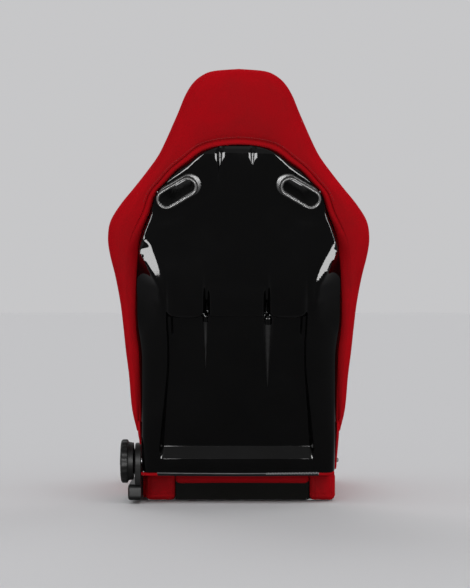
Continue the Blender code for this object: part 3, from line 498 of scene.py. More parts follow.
RED = cloth("scene_red_cloth", (0.33, 0.0006, 0.0035), (0.50, 0.0012, 0.0065), 0.10, (1.0, 0.02, 0.05))
BLACK = cloth("scene_black_cloth", (0.009, 0.009, 0.010), (0.022, 0.022, 0.024), 0.05, (0.5, 0.5, 0.55))
PANEL = cloth("scene_base_cloth", (0.0035, 0.0034, 0.0028), (0.0075, 0.0072, 0.0060), 0.0, (0.6,) * 3, 0.0024)
GLOSS = gloss_black()
SATIN = moulded("scene_satin_black", (0.007, 0.007, 0.007), (0.014, 0.014, 0.0135), 0.46, specular=0.06)
SLEEVE = moulded("scene_sleeve", (0.010, 0.010, 0.010), (0.016, 0.016, 0.016), 0.80, specular=0.02)
# pale grey rim: a painted highlight, for the light that the bezel ring's rounded top catches
RIM_PAINTED_HIGHLIGHT = moulded("scene_rim_painted_highlight", (0.15, 0.15, 0.147), (0.19, 0.19, 0.185), 0.26, 0.00005)
BEZEL = moulded("scene_bezel", (0.020, 0.020, 0.020), (0.030, 0.030, 0.030), 0.34)
TRIM = moulded("scene_grey_trim", (0.20, 0.20, 0.205), (0.27, 0.27, 0.27), 0.46, specular=0.08)
# fin faces: rougher than the lacquer, and paler grey as a painted reflection of the light the fins catch
FIN_PAINTED_REFLECTION = moulded("scene_fin_painted_reflection", (0.012, 0.012, 0.012), (0.022, 0.022, 0.022), 0.38, 0.00004, 0.10)
PAINT = powder_coat()
STEEL = zinc_steel("scene_steel", (0.52, 0.52, 0.54))
BLACK_THREAD = thread("scene_black_thread", (0.02, 0.02, 0.02))
RED_THREAD = thread("scene_red_thread", (0.50, 0.003, 0.009))


# ---------------------------------------------------------------- rear shell

def shell_half(w):
    """The shell's half width at height w."""
    rows = catmull(OUTLINE, 8)
    pairs = [(SHELL_BOTTOM, SHELL_LOW_HALF + SHELL_GAP)] + [(row[3], row[2]) for row in rows]
    return table(pairs, w - SHELL_UNDER * ramp(0.545, 0.625, w)) - SHELL_GAP


def from_slot(x, w):
    """Distance from the nearer slot's middle line."""
    side = np.where(x >= 0, 1.0, -1.0)
    dx, dw = x - side * SLOT_X, w - SLOT_W
    ax, aw = side * math.cos(SLOT_TILT), -math.sin(SLOT_TILT)
    half = (SLOT_LENGTH - SLOT_WIDTH) / 2
    along = np.clip(dx * ax + dw * aw, -half, half)
    return np.hypot(dx - along * ax, dw - along * aw)


def ridge(x, w, middle, half, w_low, w_high, height):
    """A fin that starts wide under the ledge and tapers to nothing lower down."""
    share = np.clip((w - w_low) / (w_high - w_low), 0.0, 1.0)
    across = np.clip(1.0 - np.abs(x - middle) / np.maximum(half * share, 1e-6), 0.0, 1.0)
    return height * share**0.7 * ramp(0.0, 0.8, across) * ramp(w_high + 0.014, w_high, w)


def shell_depth(x, w):
    """How far the shell's outer face lies behind the frame's plane."""
    half = shell_half(w)
    mx = x - MOULD_SHIFT
    ax = np.abs(mx)
    depth = smooth_table(SHELL_DEPTH, w)

    # the broad channel down the middle, and the block and two lobes that end it
    upper = ramp(LEDGE_W - 0.002, LEDGE_W + 0.010, w)
    soft = 0.024 * ramp(0.645, 0.600, w)
    channel = ramp(-0.090, 0.010, mx) * ramp(0.0415 + soft, 0.0345 - soft, mx) * ramp(0.375, 0.445, w)
    depth = depth - CHANNEL_DEPTH * channel * (0.55 + 0.45 * ramp(0.70, 0.50, w))
    block = ramp(BLOCK_HALF + 0.005, BLOCK_HALF - 0.003, ax) * ramp(0.432, 0.385, w) * upper
    lobe_u = np.clip(np.abs(ax - LOBE_X) / LOBE_HALF, 0.0, 1.4)
    lobes = ramp(1.12, 0.86, lobe_u) * ramp(0.50, 0.385, w) * upper
    depth = depth + BLOCK_RISE * block + LOBE_RISE * lobes
    depth = depth - 0.0028 * furrow(ax - GROOVE_X, 0.0055) * ramp(0.56, 0.36, w) * upper

    # the recessed panel: its sides lean out downwards, and its top is the underside of the ledge
    rib = rib_width(w)
    wall = smooth_table(RECESS_HALF, w)
    inside = ramp(wall + rib, wall, ax) * np.clip((w - 0.022) / 0.024, 0.0, 1.0)
    ledge = np.where(ax < 0.060, LEDGE_W, LEDGE_W - 0.0055 + 0.013 * lobe_u**4)
    ledge = ledge + 0.018 * furrow(ax - GROOVE_X, 0.0045)
    under = ramp(ledge + 0.0075, ledge, w)
    top_fade = 0.55 + 0.45 * ramp(0.340, 0.250, w)
    depth = depth - RECESS_DEPTH * inside * under * np.where(ax > 0.135, top_fade, 1.0)
    for middle, fin_half, tip, top, height in FINS:
        depth = depth + ridge(mx, w, middle, fin_half, tip, top, height) * under
    depth = depth - 0.0010 * furrow(w - 0.0180, 0.0022) * ramp(0.168, 0.150, ax)

    # side walls, squarer at the bottom, and the chamfered facets under the shoulders
    edge = SHELL_EDGE + SHELL_LIFT * ramp(ARCH_LOW, ARCH_HIGH, w)
    above_slot = furrow(np.abs(x) - 0.122, 0.017) * ramp(0.605, 0.635, w)
    square = 40.0 + (7.0 - 40.0) * ramp(0.045, 0.16, w) + 50.0 * ramp(0.38, 0.46, w) - 45.0 * above_slot
    square = square + 150.0 * ramp(0.45, 0.49, w) * ramp(0.60, 0.55, w)
    dents = sum(strength * furrow(x - place, wide) for place, wide, strength in DENTS)
    share = np.clip(np.abs(x) / half, 0.0, 1.0)
    high = (w - SHELL_BOTTOM) / (OUTLINE[-1][3] + SHELL_UNDER - SHELL_BOTTOM)
    rounding = (1 - share**square) * (1 - high ** (60 - 42 * dents))
    depth = edge + (depth - edge) * np.sqrt(np.maximum(0.0, rounding))
    crease = table(FACET_CREASE, w)
    faced = (w > FACET_CREASE[0][0]) & (w < FACET_CREASE[-1][0])
    fall = np.clip((np.abs(x) - crease) / np.maximum(half - crease, 1e-4), 0.0, 1.0)
    hip = np.where(x > 0, HIP_LEFT + HIP_GROWTH * np.clip(w - 0.42, 0.0, 0.09), HIP_RIGHT)
    rise = HIP_SLOPE * hip * ramp(0.345, 0.41, w) * ramp(0.524, 0.504, w)
    slant = np.where(w > FACET_CREASE[2][0], HIP_SLANT, 1.0)
    near = np.clip(1.0 - np.abs(crease - np.abs(x)) * slant / hip, 0.0, 1.0)
    depth = depth + rise * near
    top = smooth_table(SHELL_DEPTH, w) + rise
    facet = top - (top - edge - FACET_EDGE) * fall
    depth = np.where(faced & (fall > 0), smooth_min(depth, facet, 0.0014), depth)

    # the flat land that each slot's bezel seats on
    reach = SLOT_WIDTH / 2 + 0.0120
    spread = 0.022 + 0.014 * ramp(SLOT_W + 0.010, SLOT_W - 0.030, w)
    land = ramp(reach + spread, reach, from_slot(x, w))
    return depth + (SLOT_LAND - depth) * land


def stadium(length, width, side, depth, shift=0.0, rise=0.0, count=20):
    """A slot's outline in the backrest's frame, moved inwards along itself by shift and up by rise."""
    tilt = -side * SLOT_TILT
    ends = []
    for end, start in ((1, -90), (-1, 90)):
        angles = np.radians(start + 180 * np.arange(count + 1) / count)
        along = end * (length - width) / 2 + width / 2 * np.cos(angles)
        ends.append(np.column_stack([along, width / 2 * np.sin(angles)]))
    flat = np.vstack(ends) * (side, 1)
    x = flat[:, 0] * math.cos(tilt) - flat[:, 1] * math.sin(tilt)
    w = flat[:, 0] * math.sin(tilt) + flat[:, 1] * math.cos(tilt)
    inwards, up = shift * math.cos(SLOT_TILT), shift * math.sin(SLOT_TILT)
    return np.column_stack([x + side * (SLOT_X - inwards), np.full(len(x), depth), w + SLOT_W + up + rise])


def rib_width(w):
    return 0.004 + 0.009 * ramp(0.27, 0.03, w)


def shell_columns(w):
    """Where the shell's grid lines cross height w, close together at the grooves, walls and edge."""
    half = float(shell_half(w))
    wall = float(smooth_table(RECESS_HALF, w))
    knots = np.array([0.0, 0.0545, 0.0730, wall - 0.0015, wall + float(rib_width(w)) + 0.0015])
    columns = []
    for side in (-1, 1):
        shrink = min(1.0, half / 0.2)
        places = [place * shrink for place in knots + side * MOULD_SHIFT] + [half]
        line = []
        for start, end, count in zip(places, places[1:], (30, 12, 16, 12)):
            line += list(np.linspace(start, end, count + 1)[:-1])
        rest = places[-1] - places[-2]
        line += list(places[-2] + rest * np.sin(np.linspace(0, math.pi / 2, 27)))
        columns.append(side * np.array(line))
    return np.concatenate([columns[0][::-1][:-1], columns[1]])


def make_shell():
    """The outer face is a height field; the wall goes inwards, and the slots are cut through."""
    shell_top = OUTLINE[-1][3] + SHELL_UNDER
    heights = np.concatenate(
        [
            np.linspace(SHELL_BOTTOM, 0.05, 41)[:-1],
            np.linspace(0.05, 0.335, 84)[:-1],
            np.linspace(0.335, 0.365, 22)[:-1],
            0.365 + (shell_top - 0.0006 - 0.365) * np.sin(np.linspace(0, math.pi / 2, 110)),
        ]
    )
    x = np.array([shell_columns(w) for w in heights])
    w = np.repeat(heights[:, None], x.shape[1], axis=1)
    form = Form(np.stack([x, shell_depth(x, w), w], axis=2))
    shell = piece("rear_shell_gloss", form, GLOSS, "backrest", ("rear_shell",), angle=50)
    modifier(shell, "SOLIDIFY", thickness=SHELL_WALL, offset=-1.0)
    holes = []
    for side in (1, -1):
        size = (SLOT_LENGTH + CUT_ROOM, SLOT_WIDTH + CUT_ROOM)
        rings = [stadium(*size, side, depth) for depth in (0.0, 0.09)]
        holes.append(new_object("hole", new_mesh("hole", solid(rings))))
        modifier(shell, "BOOLEAN", operation="DIFFERENCE", solver="EXACT", object=holes[-1])
    check_outward(shell)
    apply_modifiers(shell)
    for hole in holes:
        bpy.data.objects.remove(hole, do_unlink=True)
    shell.data.transform(BACK)
    shade(shell, 50)


def make_fin_faces():
    """The fins' outer faces: duller than the lacquer round them, and paler grey as a painted reflection."""
    form = Form()
    for middle, half, tip, top, _ in FINS:
        rows = []
        for w in np.linspace(tip + 0.004, top - 0.012, 60):
            share = (w - tip) / (top - tip)
            x = middle + MOULD_SHIFT + np.linspace(-0.72, 0.72, 9) * half * share
            n = shell_depth(x, np.full(9, w))
            face = [(a, b + 0.0005, w) for a, b in zip(x, n)]
            rows.append(face + [(a, b - 0.0010, w) for a, b in zip(x[::-1], n[::-1])])
        form.grid(rows, around=True, caps=True)
    piece("shell_fin_faces", form, FIN_PAINTED_REFLECTION, "backrest", (), BACK, 40)


def check_outward(shell):
    """An open height field has no inside, so its normals are set to point to the rear here."""
    with edited(shell.data) as bm:
        if sum(face.normal.y for face in bm.faces) < 0:
            bmesh.ops.reverse_faces(bm, faces=bm.faces)


# ---------------------------------------------------------------- cloth border

def make_wrap():
    """Padded red border: it rolls round the outer edge, crowns and dips at the seam; round the arch it ends
    in a lip on the shell, and lower down it is tucked in beside the shell."""
    rows = []
    for outer_x, outer_w, inner_x, inner_w in stations(8):
        outer, inner = np.array((outer_x, outer_w)), np.array((inner_x, inner_w))
        across = inner - outer
        width = np.linalg.norm(across)
        across /= width
        tucked = float(ramp(ARCH_HIGH, ARCH_LOW, inner_w))
        lip = min(LIP_WIDTH, LIP_SHARE * width) * (1 - tucked) + min(TUCK_WIDTH, 0.55 * width) * tucked
        roll = min(0.024, 0.40 * width)
        deep = WRAP_DEPTH * (0.45 + 0.55 * ramp(0.004, 0.030, width))
        lip_top = deep + LIP_TOP - WRAP_DEPTH
        crown = 0.005 * ramp(0.045, 0.150, width)
        plateau = width - lip - roll
        section = [(0.10 * width, -FLANGE), (0.12 * width, FLANGE), (width, FLANGE)]
        rolled = [(0.0, 0.0165), (0.0008 / lip, deep - 0.008), (0.10, deep - 0.0035)]
        rolled += [(s, lip_top - 0.0045 * (2 * s - 0.95) ** 2) for s in (0.28, 0.50, 0.72)]
        rolled += [(0.93, deep - 0.0028), (1.00, deep - 0.0040), (1.08, deep - 0.0026)]
        for s, high in rolled:
            low = deep - TUCK_DEPTH * (1 - s / 1.12) ** 1.6
            section.append((width - lip * s, high + (low - high) * tucked))
        for s in (0.94, 0.82, 0.66, 0.5, 0.34, 0.18, 0.06):
            section.append((roll + plateau * s, deep + crown * 4 * s * (1 - s)))
        for turn in (80, 62, 45, 28, 12, -8):
            angle = math.radians(turn)
            place = roll - (roll + EDGE_ROLL) * math.cos(angle)
            section.append((place, deep * math.sin(angle)))
        section += [(-EDGE_ROLL * 0.5, -0.0075), (0.001, -FLANGE)]
        rows.append([(outer[0] + across[0] * s, n, outer[1] + across[1] * s) for s, n in section])
    wrap = piece("back_border", solid(rows), RED, "backrest", ("back_wrap",), BACK, 60)
    return wrap


# ---------------------------------------------------------------- harness slots

RING_TOP = SLOT_LAND + BEZEL_HEIGHT
RING_ROWS = (  # growth over the slot's outline, depth, and shift
    (0.0000, SLOT_LAND - 0.0010, 0.0),
    (0.0000, RING_TOP - 0.0040, 0.0),
    (0.0006, RING_TOP - 0.0016, 0.0),
    (0.0018, RING_TOP - 0.0012, 0.0),
    (0.0032, RING_TOP - 0.0010, 0.0),
    (0.0046, RING_TOP - 0.0016, 0.0),
    (0.0056, RING_TOP - 0.0030, 0.0),
    (0.0060, RING_TOP - 0.0060, 0.0003),
    (0.0062, SLOT_LAND + 0.0048, 0.0010),
    (0.0064, SLOT_LAND + 0.0040, 0.0025),
    (0.0074, SLOT_LAND + 0.0037, 0.0052),
    (0.0080, SLOT_LAND + 0.0028, 0.0062),
    (0.0082, SLOT_LAND + 0.0003, 0.0064),
)
SLEEVE_ROWS = (  # length, width, depth, shift and rise
    (0.0800, 0.0300, SLOT_LAND - 0.0014, 0.0, 0.0),
    (0.0790, 0.0292, SLOT_LAND - 0.0060, 0.0006, 0.0),
    (0.0600, 0.0230, 0.0120, 0.0085, 0.0022),
    (0.0580, 0.0220, 0.0000, 0.0090, 0.0034),
    (0.0580, 0.0220, SLEEVE_FRONT - 0.0025, 0.0090, 0.0034),
    (0.0600, 0.0240, SLEEVE_FRONT - 0.0050, 0.0088, 0.0032),
    (0.0660, 0.0290, SLEEVE_FRONT - 0.0066, 0.0070, 0.0022),
    (0.0900, 0.0400, SLEEVE_FRONT - 0.0066, 0.0, 0.0),
    (0.0975, 0.0475, SLEEVE_FRONT - 0.0050, 0.0, 0.0),
    (0.1000, 0.0500, SLEEVE_FRONT - 0.0022, 0.0, 0.0),
    (0.1000, 0.0500, SLEEVE_FRONT, 0.0, 0.0),
    (0.0840, 0.0340, SLEEVE_FRONT, 0.0, 0.0),
    (0.0840, 0.0340, SLOT_LAND - 0.0014, 0.0, 0.0),
)
RIM_GROWTH = 0.006


def make_bezels():
    """At the rear a proud ring on a flange; in front a ring with a sleeve that narrows inwards."""
    for side, word in ((1, "left"), (-1, "right")):
        ring = [
            stadium(SLOT_LENGTH + 2 * grow, SLOT_WIDTH + 2 * grow, side, *rest)
            for grow, *rest in RING_ROWS
        ]
        sleeve = [stadium(length, width, side, *rest) for length, width, *rest in SLEEVE_ROWS]
        parts = (("ring", ring, BEZEL, "rear"), ("sleeve", sleeve, SLEEVE, "front"))
        for name, rows, material, end in parts:
            form = Form(rows, around=True, along=True)
            nodes = (f"harness_bezel_{end}_{word}",)
            piece(f"harness_{name}_{word}", form, material, "backrest", nodes, BACK, 50)
        # the rim tube's pale grey is a painted highlight along the top of the dark ring
        rim = Form()
        line = stadium(SLOT_LENGTH + RIM_GROWTH, SLOT_WIDTH + RIM_GROWTH, side, RING_TOP - 0.0012)
        rim.tube(line, 0.0024, 10, True, 0.8)
        piece("harness_rim_" + word, rim, RIM_PAINTED_HIGHLIGHT, "backrest", (), BACK, 60)


# ---------------------------------------------------------------- cushions

FRAMES = 20
PRESSURE = 4.0


class Pad:
    """A cushion in the making: the CAD solid's form, remeshed, and how it may swell."""

    def __init__(self, source, place, held, free, cap, voxel=0.005, smooth=3, slim=0.0006):
        self.source, self.place, self.held, self.free = source, place, held, np.array(free, float)
        self.cap = cap
        mesh = frame["nodes"][source].data.copy()
        mesh.materials.clear()
        self.item = new_object(source + "_work", mesh)
        modifier(self.item, "REMESH", mode="VOXEL", voxel_size=voxel)
        modifier(self.item, "SMOOTH", factor=0.5, iterations=smooth)
        modifier(self.item, "DISPLACE", mid_level=0.0, strength=-slim)
        apply_modifiers(self.item)

    def local(self):
        """Its points in the frame that it is described in."""
        return in_frame(read_points(self.item.data), self.place.inverted())

    def start_cloth(self):
        weights = self.held(self.local())
        group = self.item.vertex_groups.new(name="held")
        for index, weight in enumerate(weights):
            group.add([index], float(weight), "REPLACE")
        simulated = modifier(self.item, "CLOTH")
        simulated.point_cache.frame_start = 1
        simulated.point_cache.frame_end = FRAMES
        settings = simulated.settings
        settings.quality = 5
        settings.mass = 0.3
        settings.vertex_group_mass = "held"
        settings.use_pressure = True
        settings.uniform_pressure_force = PRESSURE
        settings.effector_weights.gravity = 0.0

    def end_cloth(self):
        """Keep what the cloth did, as far as the cap and the free directions let it."""
        shown = self.item.evaluated_get(bpy.context.evaluated_depsgraph_get())
        after = read_points(shown.data)
        self.item.modifiers.clear()
        inverse = self.place.inverted()
        start = self.local()
        move = in_frame(after, inverse) - start
        size = np.linalg.norm(move, axis=1)
        move *= (np.minimum(size, self.cap) / np.maximum(size, 1e-9))[:, None]
        move *= self.free * (1.0 - self.held(start))[:, None]
        write_points(self.item.data, in_frame(start + move, self.place))

    def finish(self, name, material, body, slot, sewn=None, fill=0.7, mirror=None):
        """Subdivide, sew the seams in and dress the piece; mirror names the node of its twin."""
        modifier(self.item, "SUBSURF", levels=1, render_levels=1)
        apply_modifiers(self.item)
        if sewn is not None:
            mesh = self.item.data
            normals = np.empty(len(mesh.vertices) * 3)
            mesh.vertex_normals.foreach_get("vector", normals)
            turn = np.array(self.place.to_3x3())
            local_normals = normals.reshape(-1, 3) @ turn
            points = self.local()
            points = points - local_normals * sewn(points, local_normals)[:, None]
            write_points(mesh, in_frame(points, self.place))
        dress_pad(self.item, name, material, body, self.source)
        if mirror is not None:
            mesh = self.item.data.copy()
            mesh.transform(Matrix.Scale(-1, 4, (1, 0, 0)))
            mesh.flip_normals()
            other = name.replace("left", "right")
            dress_pad(new_object(name, mesh), other, material, body, mirror)
        return self.item


def dress_pad(item, name, material, body, node_name):
    """Name and finish a cushion, and hide the CAD node that it stands for."""
    mesh = item.data
    item.name = mesh.name = name
    mesh.materials.clear()
    mesh.materials.append(material)
    mesh.polygons.foreach_set("use_smooth", [True] * len(mesh.polygons))
    mesh.polygons.foreach_set("material_index", [0] * len(mesh.polygons))
    mesh.update()
    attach(item, body)
    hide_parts(node_name)


def read_points(mesh):
    points = np.empty(len(mesh.vertices) * 3)
    mesh.vertices.foreach_get("co", points)
    return points.reshape(-1, 3)


def write_points(mesh, points):
    mesh.vertices.foreach_set("co", np.asarray(points, float).ravel())
    mesh.update()


def in_frame(points, matrix):
    turn = np.array(matrix.to_3x3())
    return points @ turn.T + np.array(matrix.translation)


def run_cloth(pads):
    """All the cushions swell in one run of the timeline, which takes less time than one after another."""
    scene = bpy.context.scene
    scene.frame_start, scene.frame_end = 1, FRAMES
    for pad in pads:
        pad.start_cloth()
    for number in range(1, FRAMES + 1):
        scene.frame_set(number)
    for pad in pads:
        pad.end_cloth()
    scene.frame_set(1)


def outer_half(w):
    """Half the width of the cloth's outer edge at height w."""
    rows = catmull(OUTLINE[:-1], 4)
    return table([(row[1], row[0]) for row in rows], w)


CHANNEL_STEP = 0.052  # between sewn lines, about
CHANNEL_SINK = 0.0042
CHANNEL_WIDTH = 0.0042
RIB_RISE = 0.0012
CHANNELS = {  # axis that the channels are spaced along, and the cushion's first and last place on it
    "lower_insert": (2, 0.045, 0.398),
    "upper_insert": (2, 0.400, 0.698),
    "seat_insert": (1, -0.3382, 0.0297),
}
BOLSTER_X = 0.127  # where a backrest bolster's facing panel starts
SEAM_SHARES = (0.22, 0.80)  # its two seams, as shares of its width
THIGH_SEAM_X = 0.197


def channel_lines(first, last):
    count = max(1, round((last - first) / CHANNEL_STEP))
    return np.linspace(first, last, count + 1)[1:-1]


def sewn_channels(along, first, last):
    """Padded ribs between sewn lines, evenly spaced from first to last; along picks the coordinate."""
    lines = channel_lines(first, last)

    def sewn(points, normals):
        away = np.min(np.abs(points[:, along][:, None] - lines[None, :]), axis=1)
        outward = -normals[:, 1] if along == 2 else normals[:, 2]
        sunk = CHANNEL_SINK * furrow(away, CHANNEL_WIDTH) * ramp(0.0, 0.55, outward)
        return sunk - RIB_RISE * ramp(0.004, 0.022, away)

    return sewn


def sewn_bolster(points, normals):
    """Seams along both edges of a backrest bolster's facing panel."""
    width = outer_half(points[:, 2]) - 0.002 - BOLSTER_X
    share = (np.abs(points[:, 0]) - BOLSTER_X) / width
    front = ramp(-0.1, 0.5, -normals[:, 1])
    crest = furrow((share - SEAM_SHARES[1]) * width, 0.0030)
    inner = furrow((share - SEAM_SHARES[0]) * width, 0.0028)
    return (0.0030 * crest + 0.0026 * inner) * front


def sewn_thigh(points, normals):
    """A seam along the crest of the cushion's side bolster."""
    away = np.abs(points[:, 0]) - THIGH_SEAM_X
    return 0.0030 * furrow(away, 0.0030) * ramp(0.1, 0.5, normals[:, 2])


def sewn_head(points, normals):
    """The head pad's facing panel is sewn in a border of the same cloth."""
    inset = outer_half(points[:, 2]) - 0.026 - np.abs(points[:, 0])
    return 0.0028 * furrow(inset, 0.0030) * ramp(0.1, 0.5, -normals[:, 1])


def held_at_back(points):
    return ramp(-PAD_BACK - 0.018, -PAD_BACK - 0.004, points[:, 1])


def held_below(low, high):
    return lambda points: ramp(high, low, points[:, 2])


def held_in_front(points):
    return ramp(-0.362, -0.354, points[:, 1])


def held_at_plate(points):
    return ramp(0.212, 0.207, np.abs(points[:, 0]))


def make_cushions():
    """All the padded pieces over the CAD's soft solids."""
    back_free, seat_free = (0.25, 1.0, 0.35), (0.25, 0.35, 1.0)
    pads = {
        "lower_insert": Pad("lower_insert", BACK, held_at_back, back_free, 0.007),
        "upper_insert": Pad("upper_insert", BACK, held_at_back, back_free, 0.007),
        "head_pad": Pad("head_pad", BACK, held_at_back, back_free, 0.009),
        "side_bolster": Pad("side_bolster_left", BACK, held_at_back, back_free, 0.009),
        "shoulder_bolster": Pad("shoulder_bolster_left", BACK, held_at_back, back_free, 0.008),
        "seat_insert": Pad("seat_insert", HERE, held_below(0.070, 0.088), seat_free, 0.009),
        "thigh_bolster": Pad("thigh_bolster_left", HERE, held_below(0.066, 0.085), seat_free, 0.010),
        "front_roll": Pad("front_roll", HERE, held_below(0.064, 0.078), (0.2, 0.7, 0.7), 0.007),
        "front_apron": Pad("front_apron", HERE, held_in_front, (0.1, 1.0, 0.1), 0.003, 0.004, 5, 0.0006),
        "side_skirt": Pad("side_skirt_left", HERE, held_at_plate, (1.0, 0.1, 0.1), 0.003, 0.003, 4, 0.0004),
    }
    run_cloth(pads.values())
    made = {}
    for name, channels in CHANNELS.items():
        body = "base" if name == "seat_insert" else "backrest"
        sewn = sewn_channels(*channels)
        made[name] = pads[name].finish(name + "_cushion", BLACK, body, "black_cloth", sewn)
    pads["head_pad"].finish("head_cushion", RED, "backrest", "red_cloth", sewn_head)
    pads["front_roll"].finish("front_roll_cushion", RED, "base", "red_cloth")
    pads["front_apron"].finish("front_apron_cover", RED, "base", "red_cloth", fill=0.4)
    skirt, other = "side_skirt_cover_left", "side_skirt_right"
    pads["side_skirt"].finish(skirt, RED, "base", "red_cloth", fill=0.4, mirror=other)
    twins = (
        ("side_bolster", "backrest", sewn_bolster),
        ("shoulder_bolster", "backrest", sewn_bolster),
        ("thigh_bolster", "base", sewn_thigh),
    )
    for name, body, sewn in twins:
        label, other = name + "_cushion_left", name + "_right"
        made[name] = pads[name].finish(label, RED, body, "red_cloth", sewn, mirror=other)
    return made


# ---------------------------------------------------------------- the cushion's rear end

def pillow(low, high, edge, crown, steps):
    """A rounded block with a crowned rear face, as points and faces."""
    low, high = np.array(low), np.array(high)
    middle, half = (low + high) / 2, (high - low) / 2
    spread = np.sin(np.linspace(-1, 1, 2 * steps + 1) * math.pi / 2)
    points, faces, lookup = [], [], {}

    def place(u, v, axis, sign):
        raw = np.zeros(3)
        raw[axis] = sign
        raw[(axis + 1) % 3], raw[(axis + 2) % 3] = u, v
        key = tuple(np.round(raw, 5))
        if key in lookup:
            return lookup[key]
        core = half - edge
        at = raw * half
        inner = np.clip(at, -core, core)
        out = at - inner
        length = np.linalg.norm(out)
        if length > 1e-9:
            at = inner + out / length * edge
        bulge = (1 - (at[0] / half[0]) ** 2) * (1 - (at[2] / half[2]) ** 2)
        at[1] += crown * max(0.0, bulge) * (1 if at[1] > 0 else 0)
        lookup[key] = len(points)
        points.append(middle + at)
        return lookup[key]

    for axis in range(3):
        for sign in (-1, 1):
            for i in range(2 * steps):
                for j in range(2 * steps):
                    corners = ((i, j), (i + 1, j), (i + 1, j + 1), (i, j + 1))
                    faces.append([place(spread[a], spread[b], axis, sign) for a, b in corners])
    return np.array(points), faces


REAR_BLOCKS = (
    # name and CAD node, both after "rear_", then low and high corner, edge radius and crown
    ("corner_cover_left", "corner_left", (0.1388, 0.0521, 0.0020), (0.2045, 0.0772, 0.0600), 0.012, 0.005),
    ("corner_cover_right", "corner_right", (-0.2125, 0.0521, 0.002), (-0.1558, 0.0772, 0.0655), 0.0125, 0.005),
    ("strip_cover", "strip", (-0.1548, 0.0460, 0.0380), (0.1382, 0.0775, 0.0600), 0.0100, 0.0095),
    ("panel_cloth", "panel", (-0.1548, 0.0666, 0.0030), (0.1385, 0.0730, 0.0430), 0.0025, 0.0010),
)


def make_rear_end():
    """Red padded corners, the red strip and the dark panel below the shell."""
    for name, source, low, high, edge, crown in REAR_BLOCKS:
        points, faces = pillow(low, high, edge, crown, 14)
        if "corner" in source:
            inner, outer = sorted((abs(low[0]), abs(high[0])))
            rear = ramp(high[1] - 0.006, high[1] - 0.002, points[:, 1])
            across = np.abs(points[:, 0])
            seam = 0.0022 * furrow(points[:, 2] - (low[2] + 0.013), 0.0020)
            seam += 0.0020 * furrow(across - (inner + 0.010), 0.0020)
            seam += 0.0016 * furrow(across - (outer - 0.009), 0.0018)
            pucker = 0.0009 * np.sin(across * 310 + points[:, 2] * 120)
            pucker *= furrow(points[:, 2] - (low[2] + 0.018), 0.009)
            points[:, 1] -= (seam + pucker) * rear
        if "strip" in source:
            points[:, 2] += 0.0014 * np.sin(math.pi * (points[:, 0] - low[0]) / (high[0] - low[0]))
        form = Form()
        form.add(points, faces)
        material, slot = (PANEL, "black_cloth") if "panel" in source else (RED, "red_cloth")
        cover = piece("rear_" + name, form, material, "base", ("rear_" + source,), angle=70)


ZIP_Z = 0.0690
ZIP_BACK = 0.1485
ZIP_SECTION = (  # up and back, round the tape
    (-0.0045, -0.0016),
    (-0.0020, 0.0012),
    (0.0022, 0.0014),
    (0.0042, -0.0012),
    (0.0030, -0.0030),
    (-0.0035, -0.0034),
)
HEM_ENDS = (  # path and radius of the red hem's roll at each end of the zip
    (((0.2095, 0.1405, 0.0668), (0.1950, 0.1430, 0.0666), (0.1745, 0.1450, 0.0668)), 0.0040),
    (((-0.1725, 0.1450, 0.0680), (-0.1900, 0.1430, 0.0682), (-0.2060, 0.1400, 0.0688)), 0.0046),
)


def make_trim():
    """The zip under the shell, with the red hem that shows at both its ends; between them a black cord paints the
    shade under the zip.
    """
    z, back = ZIP_Z, ZIP_BACK
    count = 60
    x = np.linspace(0.1755, -0.1730, count)
    sag = -0.0016 * np.sin(np.linspace(0, math.pi, count))
    form = solid([[(at, back + y, z + dip + dz) for dz, y in ZIP_SECTION] for at, dip in zip(x, sag)])
    tape = piece("zip_tape", form, BLACK, "backrest", ("shell_trim_strip",), angle=30)
    teeth = Form()
    for number, at in enumerate(np.arange(-0.0610, -0.1725, -0.0037)):
        dip = float(np.interp(-at, -x, sag))
        low = (at - 0.0011, back - 0.0008, z + dip - 0.0026 + 0.0010 * (number % 2))
        high = (at + 0.0011, back + 0.0026, z + dip + 0.0016 + 0.0010 * (number % 2))
        teeth.add(*pillow(low, high, 0.0005, 0.0, 2))
    piece("zip_teeth", teeth, TRIM, "backrest", angle=40)
    chain = Form()
    chain.tube([(at, back + 0.0012, z + dip + 0.0004) for at, dip in zip(x, sag)], 0.0011, 6, flat=0.7)
    piece("zip_chain", chain, TRIM, "backrest", angle=60)
    hem = Form()
    for path, radius in HEM_ENDS:
        hem.tube(catmull(path, 10), radius, 12)
    roll = piece("hem_ends", hem, RED, "backrest", angle=60)
    # painted shade: a black cord where the hem between its red ends lies in the zip's shadow
    under = Form()
    path = [(0.1760, 0.1440, 0.0650), (0.0, 0.1440, 0.0636), (-0.1740, 0.1440, 0.0650)]
    under.tube(catmull(path, 24), 0.0030, 10, flat=0.7)
    facing = piece("hem_painted_shade", under, BLACK, "backrest", angle=60)


SCREW_PROFILE = (  # outwards, radius
    (0.0, 0.0040), (0.0008, 0.0047), (0.0026, 0.0046), (0.0040, 0.0034), (0.0044, 0.0020), (0.0034, 0.0016),
)
SCREW_X, SCREW_N, SCREW_W = -0.2125, 0.008, 0.006


def make_border_tails():
    """The border's cloth runs on as a narrow edge beside the shell, and a screw ends the right one."""
    for side, word, end in ((1, "left", 0.046), (-1, "right", -0.012)):
        rows = []
        for w in np.linspace(0.100, end, 24):
            fade = ramp(end, 0.075, w)
            x = float(np.interp(w, (-0.010, 0.075), (0.2090, 0.2112)))
            wide = 0.0032 + 0.0024 * float(fade)
            deep = 0.0150 + 0.0100 * float(fade)
            ring = [(0.0, -0.010), (wide, -0.009), (wide + 0.0008, 0.004), (wide * 0.8, deep)]
            ring += [(0.0, deep + 0.0015), (-0.0006, 0.0)]
            rows.append([(side * (x + a), n, w) for a, n in ring])
        piece("border_tail_" + word, solid(rows), RED, "backrest", (), BACK, 60)
    rings = [ring_across(SCREW_X - out, SCREW_N, SCREW_W, size, 28) for out, size in SCREW_PROFILE]
    piece("border_screw_right", solid(rings), TRIM, "backrest", (), BACK, 35)


# ---------------------------------------------------------------- recliner trim

